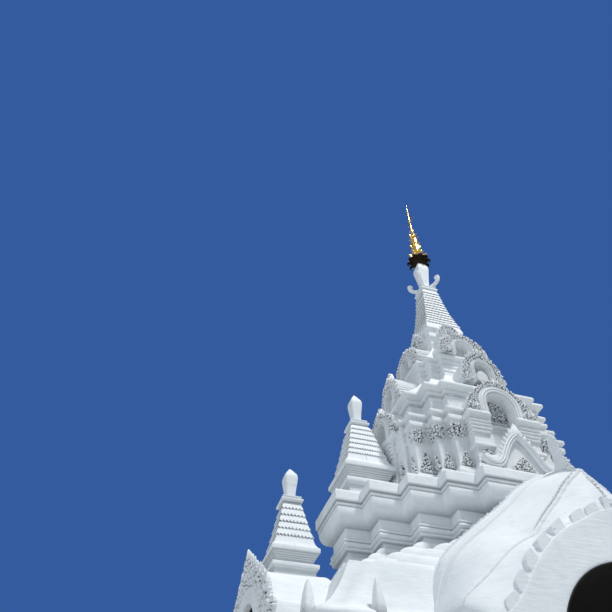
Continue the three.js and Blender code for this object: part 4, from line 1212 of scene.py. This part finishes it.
C_OUTLINE = [
    (0, 8470), (70, 8456), (135, 8400), (185, 8335), (238, 8240), (275, 8160), (302, 8040), (312, 7950),
    (285, 7885)]
D_OUTLINE = [
    (0, 9122), (60, 9108), (150, 9080), (235, 9026), (325, 8955), (366, 8860), (380, 8780), (350, 8718)]
E_OUTLINE = [(0, 9585), (60, 9562), (118, 9506), (160, 9440), (186, 9370), (160, 9290), (120, 9235)]
SECOND_EDGE = [*soften([(0, 7298), (0, 7548), (8, 7554), (8, 7560)], 3), (8, 7572), (8, 7584), (8, 7596),
               *soften([(8, 7600), (22, 7608), (30, 7624), (30, 7648), (16, 7656), (16, 7662), (52, 7680),
                        (62, 7690), (84, 7696), (95, 7706), (95, 7742), (84, 7760)])]
THIRD_EDGE = soften([
    (0, 8300), (0, 8380), (10, 8388), (10, 8410), (0, 8418), (0, 8470), (10, 8478), (10, 8498), (0, 8506),
    (0, 8556), (22, 8572), (25, 8584), (25, 8602), (12, 8608), (12, 8614), (40, 8630), (60, 8642), (60, 8684),
    (50, 8700)])
FOURTH_EDGE = soften([
    (0, 9098), (0, 9180), (8, 9186), (8, 9202), (0, 9208), (0, 9284), (12, 9304), (24, 9318), (36, 9332),
    (36, 9380), (26, 9394), (-20, 9404)], 3)

# For each tier: walls, the gable's shape, carving and boss, then its front, back and apex on faces and ends

TIERS = (
    ("second_tier", tier_walls(SECOND_PLAN, SECOND_EDGE, THIRD_PLAN, 8300, 9, knobs),
     (C_OUTLINE, (190, 8118, 7880), (116, 8110, 7890)), (130, 54, 4.0, (262, 7925, 62)), (108, 7985, 150),
     (960, 520, None), (1013, 580, (8640, 75))),
    ("third_tier", tier_walls(THIRD_PLAN, THIRD_EDGE, FOURTH_PLAN, 9100, 110, None),
     (D_OUTLINE, (196, 8842, 8712), (122, 8830, 8716)), (140, 50, 5.0, (312, 8772, 62)), None,
     (645, 250, None), (655, 250, (9255, 90))),
    ("fourth_tier", around(FOURTH_PLAN, FOURTH_EDGE, 90),
     (E_OUTLINE, (92, 9404, 9300), (50, 9404, 9330)), (62, 46, 6.0, (140, 9290, 38)), None,
     (405, 285, None), (405, 285, (9640, 20))),
)
for name, walls, shape, carving, shield, on_face, on_end in TIERS:
    parts = [walls]
    for side in FACES + ENDS:
        front, back, apex = on_face if side in FACES else on_end
        parts += on_side(gable(*shape, front, back, *carving, apex, shield), side)
    piece(name + "_plaster", parts, CARVED, [name])
piece("finial_crowns", gold_plates, GOLD, ["finial_rings"], slot="gilding", angle=50, loose=False)
piece("finial_rod", gold_rod, GOLD, ["finial_spike"], slot="gilding", angle=50, loose=False)


# Niche frames on the cornice: a ribbed serpent body bent over the niche, with flames along its back

NICHE_FACE = 1252
SERPENT = [
    (0, 6742), (60, 6700), (150, 6580), (222, 6440), (272, 6330), (340, 6272), (430, 6262), (508, 6300),
    (545, 6352)]
NICHE = arr([(6214, 300), (6308, 250), (6510, 150), (6626, 80), (6700, 12)])

path = both(rounded(SERPENT, 2))
normal = directions(path)[1]
share = np.abs(np.linspace(-1, 1, len(path)))
body_half = 47 - 34 * clamp((share - 0.62) / 0.38) ** 1.3
niche_parts = [roll(path, body_half * 0.96, 30, NICHE_FACE, sides=8)]
for offset, rib_half, thick in ((-0.62, 0.30, 26), (0.0, 0.36, 38), (0.62, 0.30, 26)):
    rib = path + normal * (body_half * offset)[:, None]
    niche_parts.append(roll(rib, body_half * rib_half, thick, NICHE_FACE + 16, sides=8))
for k in range(3, len(path) - 3, 2):
    root = path[k] + normal[k] * body_half[k] * 0.8
    way = np.sign(path[k, 0] + 0.1)
    tip = root + normal[k] * 66 + (way * -14, 26)
    niche_parts.append(leaf(root, tip, 54, 20, NICHE_FACE + 4, 0.25 * way, 7))
niche_parts.append(leaf((0, 6750), (0, 6940), 136, 30, NICHE_FACE + 12, count=12))
niche_z = np.linspace(NICHE[0, 0], NICHE[-1, 0], 24)
niche_half = np.interp(niche_z, *NICHE.T)
# The niche's recessed plate is painted lightly shaded.
niche_parts += [panel(niche_z, -niche_half, niche_half, lambda a, z: (NICHE_FACE - 14, 0.05), 1150, 10),
                motif(0, 150, 6222, 6410, NICHE_FACE - 12, bulge=34, power=0.5, seed=9.0)]
for way in WAYS:
    niche_parts += [leaf((way * 44, 6764), (way * 96, 6850), 66, 22, NICHE_FACE + 4, -0.3 * way),
                    spiral(way * 120, 6262, 46, 1.3, -way, 12, NICHE_FACE, 12),
                    spiral(way * 455, 6310, 62, 1.5, way, 15, NICHE_FACE + 10, 16)]
for side in FACES:
    side_piece(side, "niche_frame_plaster", niche_parts, CARVED, "niche_frame", angle=45)


# Wing arches with their carved pediments, and the wings' roofs

WING = [(0, 5082), (120, 5062), (324, 4994), (560, 4820), (760, 4580), (920, 4400), (920, EAVES)]
PEDIMENT = [
    (0, 5417), (120, 5291), (330, 5145), (525, 5005), (665, 4884), (825, 4718), (885, 4560), (1005, 4481),
    (1050, 4363), (920, 4300), (920, 4108)]
WINDOW_HALF, WINDOW_SPRING, WINDOW_FOOT = 380, 4437, 3008
WING_ROOF_FOOT = 4300
WING_FACE, WING_BACK, PEDIMENT_FACE, PEDIMENT_BACK = 2990, 2100, 3022, 2986
WING_STATIONS = ((2275, 14), (2400, 6), (2600, 0), (2800, -2), (2900, 2), (2960, 10), (2978, 16), (2984, 8))


def pediment_leaves(u, v, s):
    return carved(2 * s - 1, u, v, 74, 7.0, PEDIMENT_FACE, 16, 32, 2.4, 2.4, pits=1.6)


def pediment_ring(u, v, s):
    return PEDIMENT_FACE + 6 + 36 * clamp(np.sin(np.pi * s)) ** 0.4 + 5 * np.cos(TAU * 2.5 * s), 0


def wing_roof_sheet(out, lift, thin=False):
    """A section of the wing's roof, pointed outside and round over the window inside; a thin one is empty."""
    half = arr(WING[:6]) + (60, 60)
    half[0, 0] = 0
    line = both(smooth(half, 40)) + (0, lift)
    line = np.concatenate([[[-980, WING_ROOF_FOOT]], line, [[980, WING_ROOF_FOOT]]])
    under = line if thin else arch_line(600, WINDOW_SPRING, WING_ROOF_FOOT, len(line))
    return np.insert(np.concatenate([line, under[::-1]]), 1, out, axis=1)


window = arch_line(WINDOW_HALF, WINDOW_SPRING, EAVES, 150)
moulding = evenly(arch_line(560, WINDOW_SPRING, 4108, 200), 330)
ring_line = evenly(arch_line(566, WINDOW_SPRING, 4108, 200), 200)
pediment_edge = leafy_edge(outline(PEDIMENT, 330), 52, 26)
wing_parts = [band(window, outline(WING, 150), lambda u, v, s: (WING_FACE, 0), WING_BACK, 9),
              band(moulding, pediment_edge, pediment_leaves, PEDIMENT_BACK, 54),
              band(evenly(window, 200), ring_line, pediment_ring, PEDIMENT_BACK, 21),
              leaf((0, 5330), (0, 5470), 90, 26, PEDIMENT_FACE + 14, count=10)]
for place in pediment_edge[8:322:13]:
    outward = (place - (0, WINDOW_SPRING)) / np.linalg.norm(place - (0, WINDOW_SPRING))
    root, tip = place - outward * 20, place + outward * 44 + (0, 22)
    wing_parts.append(leaf(root, tip, 46, 18, PEDIMENT_FACE + 18, count=6))
for way in WAYS:
    wing_parts += [spiral(way * 905, 4400, 100, 1.5, way, 20, PEDIMENT_FACE + 30, 20),
                   spiral(way * 700, 4660, 70, 1.4, -way, 15, PEDIMENT_FACE + 34, 15)]
# Near-black lining of the window's reveals: painted shade.
edges = [arch_line(WINDOW_HALF + gap, WINDOW_SPRING, WINDOW_FOOT, 100) for gap in (-7, 1)]
window_lining = band(*edges, lambda u, v, s: (WING_FACE - 6, 0), WING_BACK + 8, 3)
for side in ENDS:
    side_piece(side, "wing_arch_plaster", wing_parts, CARVED, "wing_arch")
    side_piece(side, "wing_roof_plaster", [sheets(wing_roof_sheet, WING_STATIONS)], WHITE, "wing_roof")
    side_piece(side, "window_lining", [window_lining], SHADE_BLACK, angle=40, loose=False)


# Stage, light and camera

FLOOR_REACH = 60
CAMERA_HEIGHT = 1.6

stage_mesh = bpy.data.meshes.new("stage_floor")
stage_mesh.from_pydata([(sx * FLOOR_REACH, sy * FLOOR_REACH, 0) for sx, sy in QUADRANTS], [], [(0, 2, 3, 1)])
stage_floor = bpy.data.objects.new("stage_floor", stage_mesh)
bpy.context.scene.collection.objects.link(stage_floor)
pale, _, shader = new_material("pale_floor")
shader["Base Color"].default_value = (0.72, 0.73, 0.74, 1)
stage_mesh.materials.append(pale)

world = bpy.data.worlds.new("studio")
world.use_nodes = True
sky = world.node_tree
ambient = sky.nodes["Background"]
ambient.inputs[0].default_value = (0.52, 0.60, 0.70, 1)
ambient.inputs[1].default_value = 0.58
backdrop = wire(sky, "ShaderNodeBackground", {0: (0.035, 0.105, 0.34, 1), 1: 1.0})
seen = wire(sky, "ShaderNodeLightPath").outputs["Is Camera Ray"]
choice = wire(sky, "ShaderNodeMixShader", {0: seen, 1: ambient.outputs[0], 2: backdrop.outputs[0]})
sky.links.new(choice.outputs[0], sky.nodes["World Output"].inputs[0])
bpy.context.scene.world = world
bpy.context.scene.view_settings.view_transform = "Standard"


def soft_light(name, place, aim, size, power, colour=(1, 1, 1)):
    """A round area light that looks from its place at a point."""
    light = bpy.data.lights.new(name, "AREA")
    light.shape = "DISK"
    light.size = size
    light.energy = power
    light.color = colour
    lamp = bpy.data.objects.new(name, light)
    lamp.location = place
    lamp.rotation_mode = "QUATERNION"
    lamp.rotation_quaternion = (Vector(aim) - Vector(place)).to_track_quat("-Z", "Y")
    bpy.context.scene.collection.objects.link(lamp)


soft_light("key_light", (8, -14, 38), (0, 0, 6), 5, 12000, (1.0, 0.985, 0.955))
soft_light("fill_light", (-22, -12, 16), (0, 0, 6), 14, 1400, (0.93, 0.96, 1.0))
soft_light("rim_light", (10, 20, 22), (0, 0, 7), 12, 2000)

lens = bpy.data.cameras.new("camera")
lens.sensor_width = 36.0
lens.lens = 40.2724
camera = bpy.data.objects.new("camera", lens)
camera.matrix_world = Matrix((
    (0.955548, -0.205077, -0.21183, -4.62037), (-0.294206, -0.71017, -0.63961, -7.08082),
    (-0.019266, 0.673499, -0.738937, CAMERA_HEIGHT), (0, 0, 0, 1)))
bpy.context.scene.collection.objects.link(camera)
bpy.context.scene.camera = camera
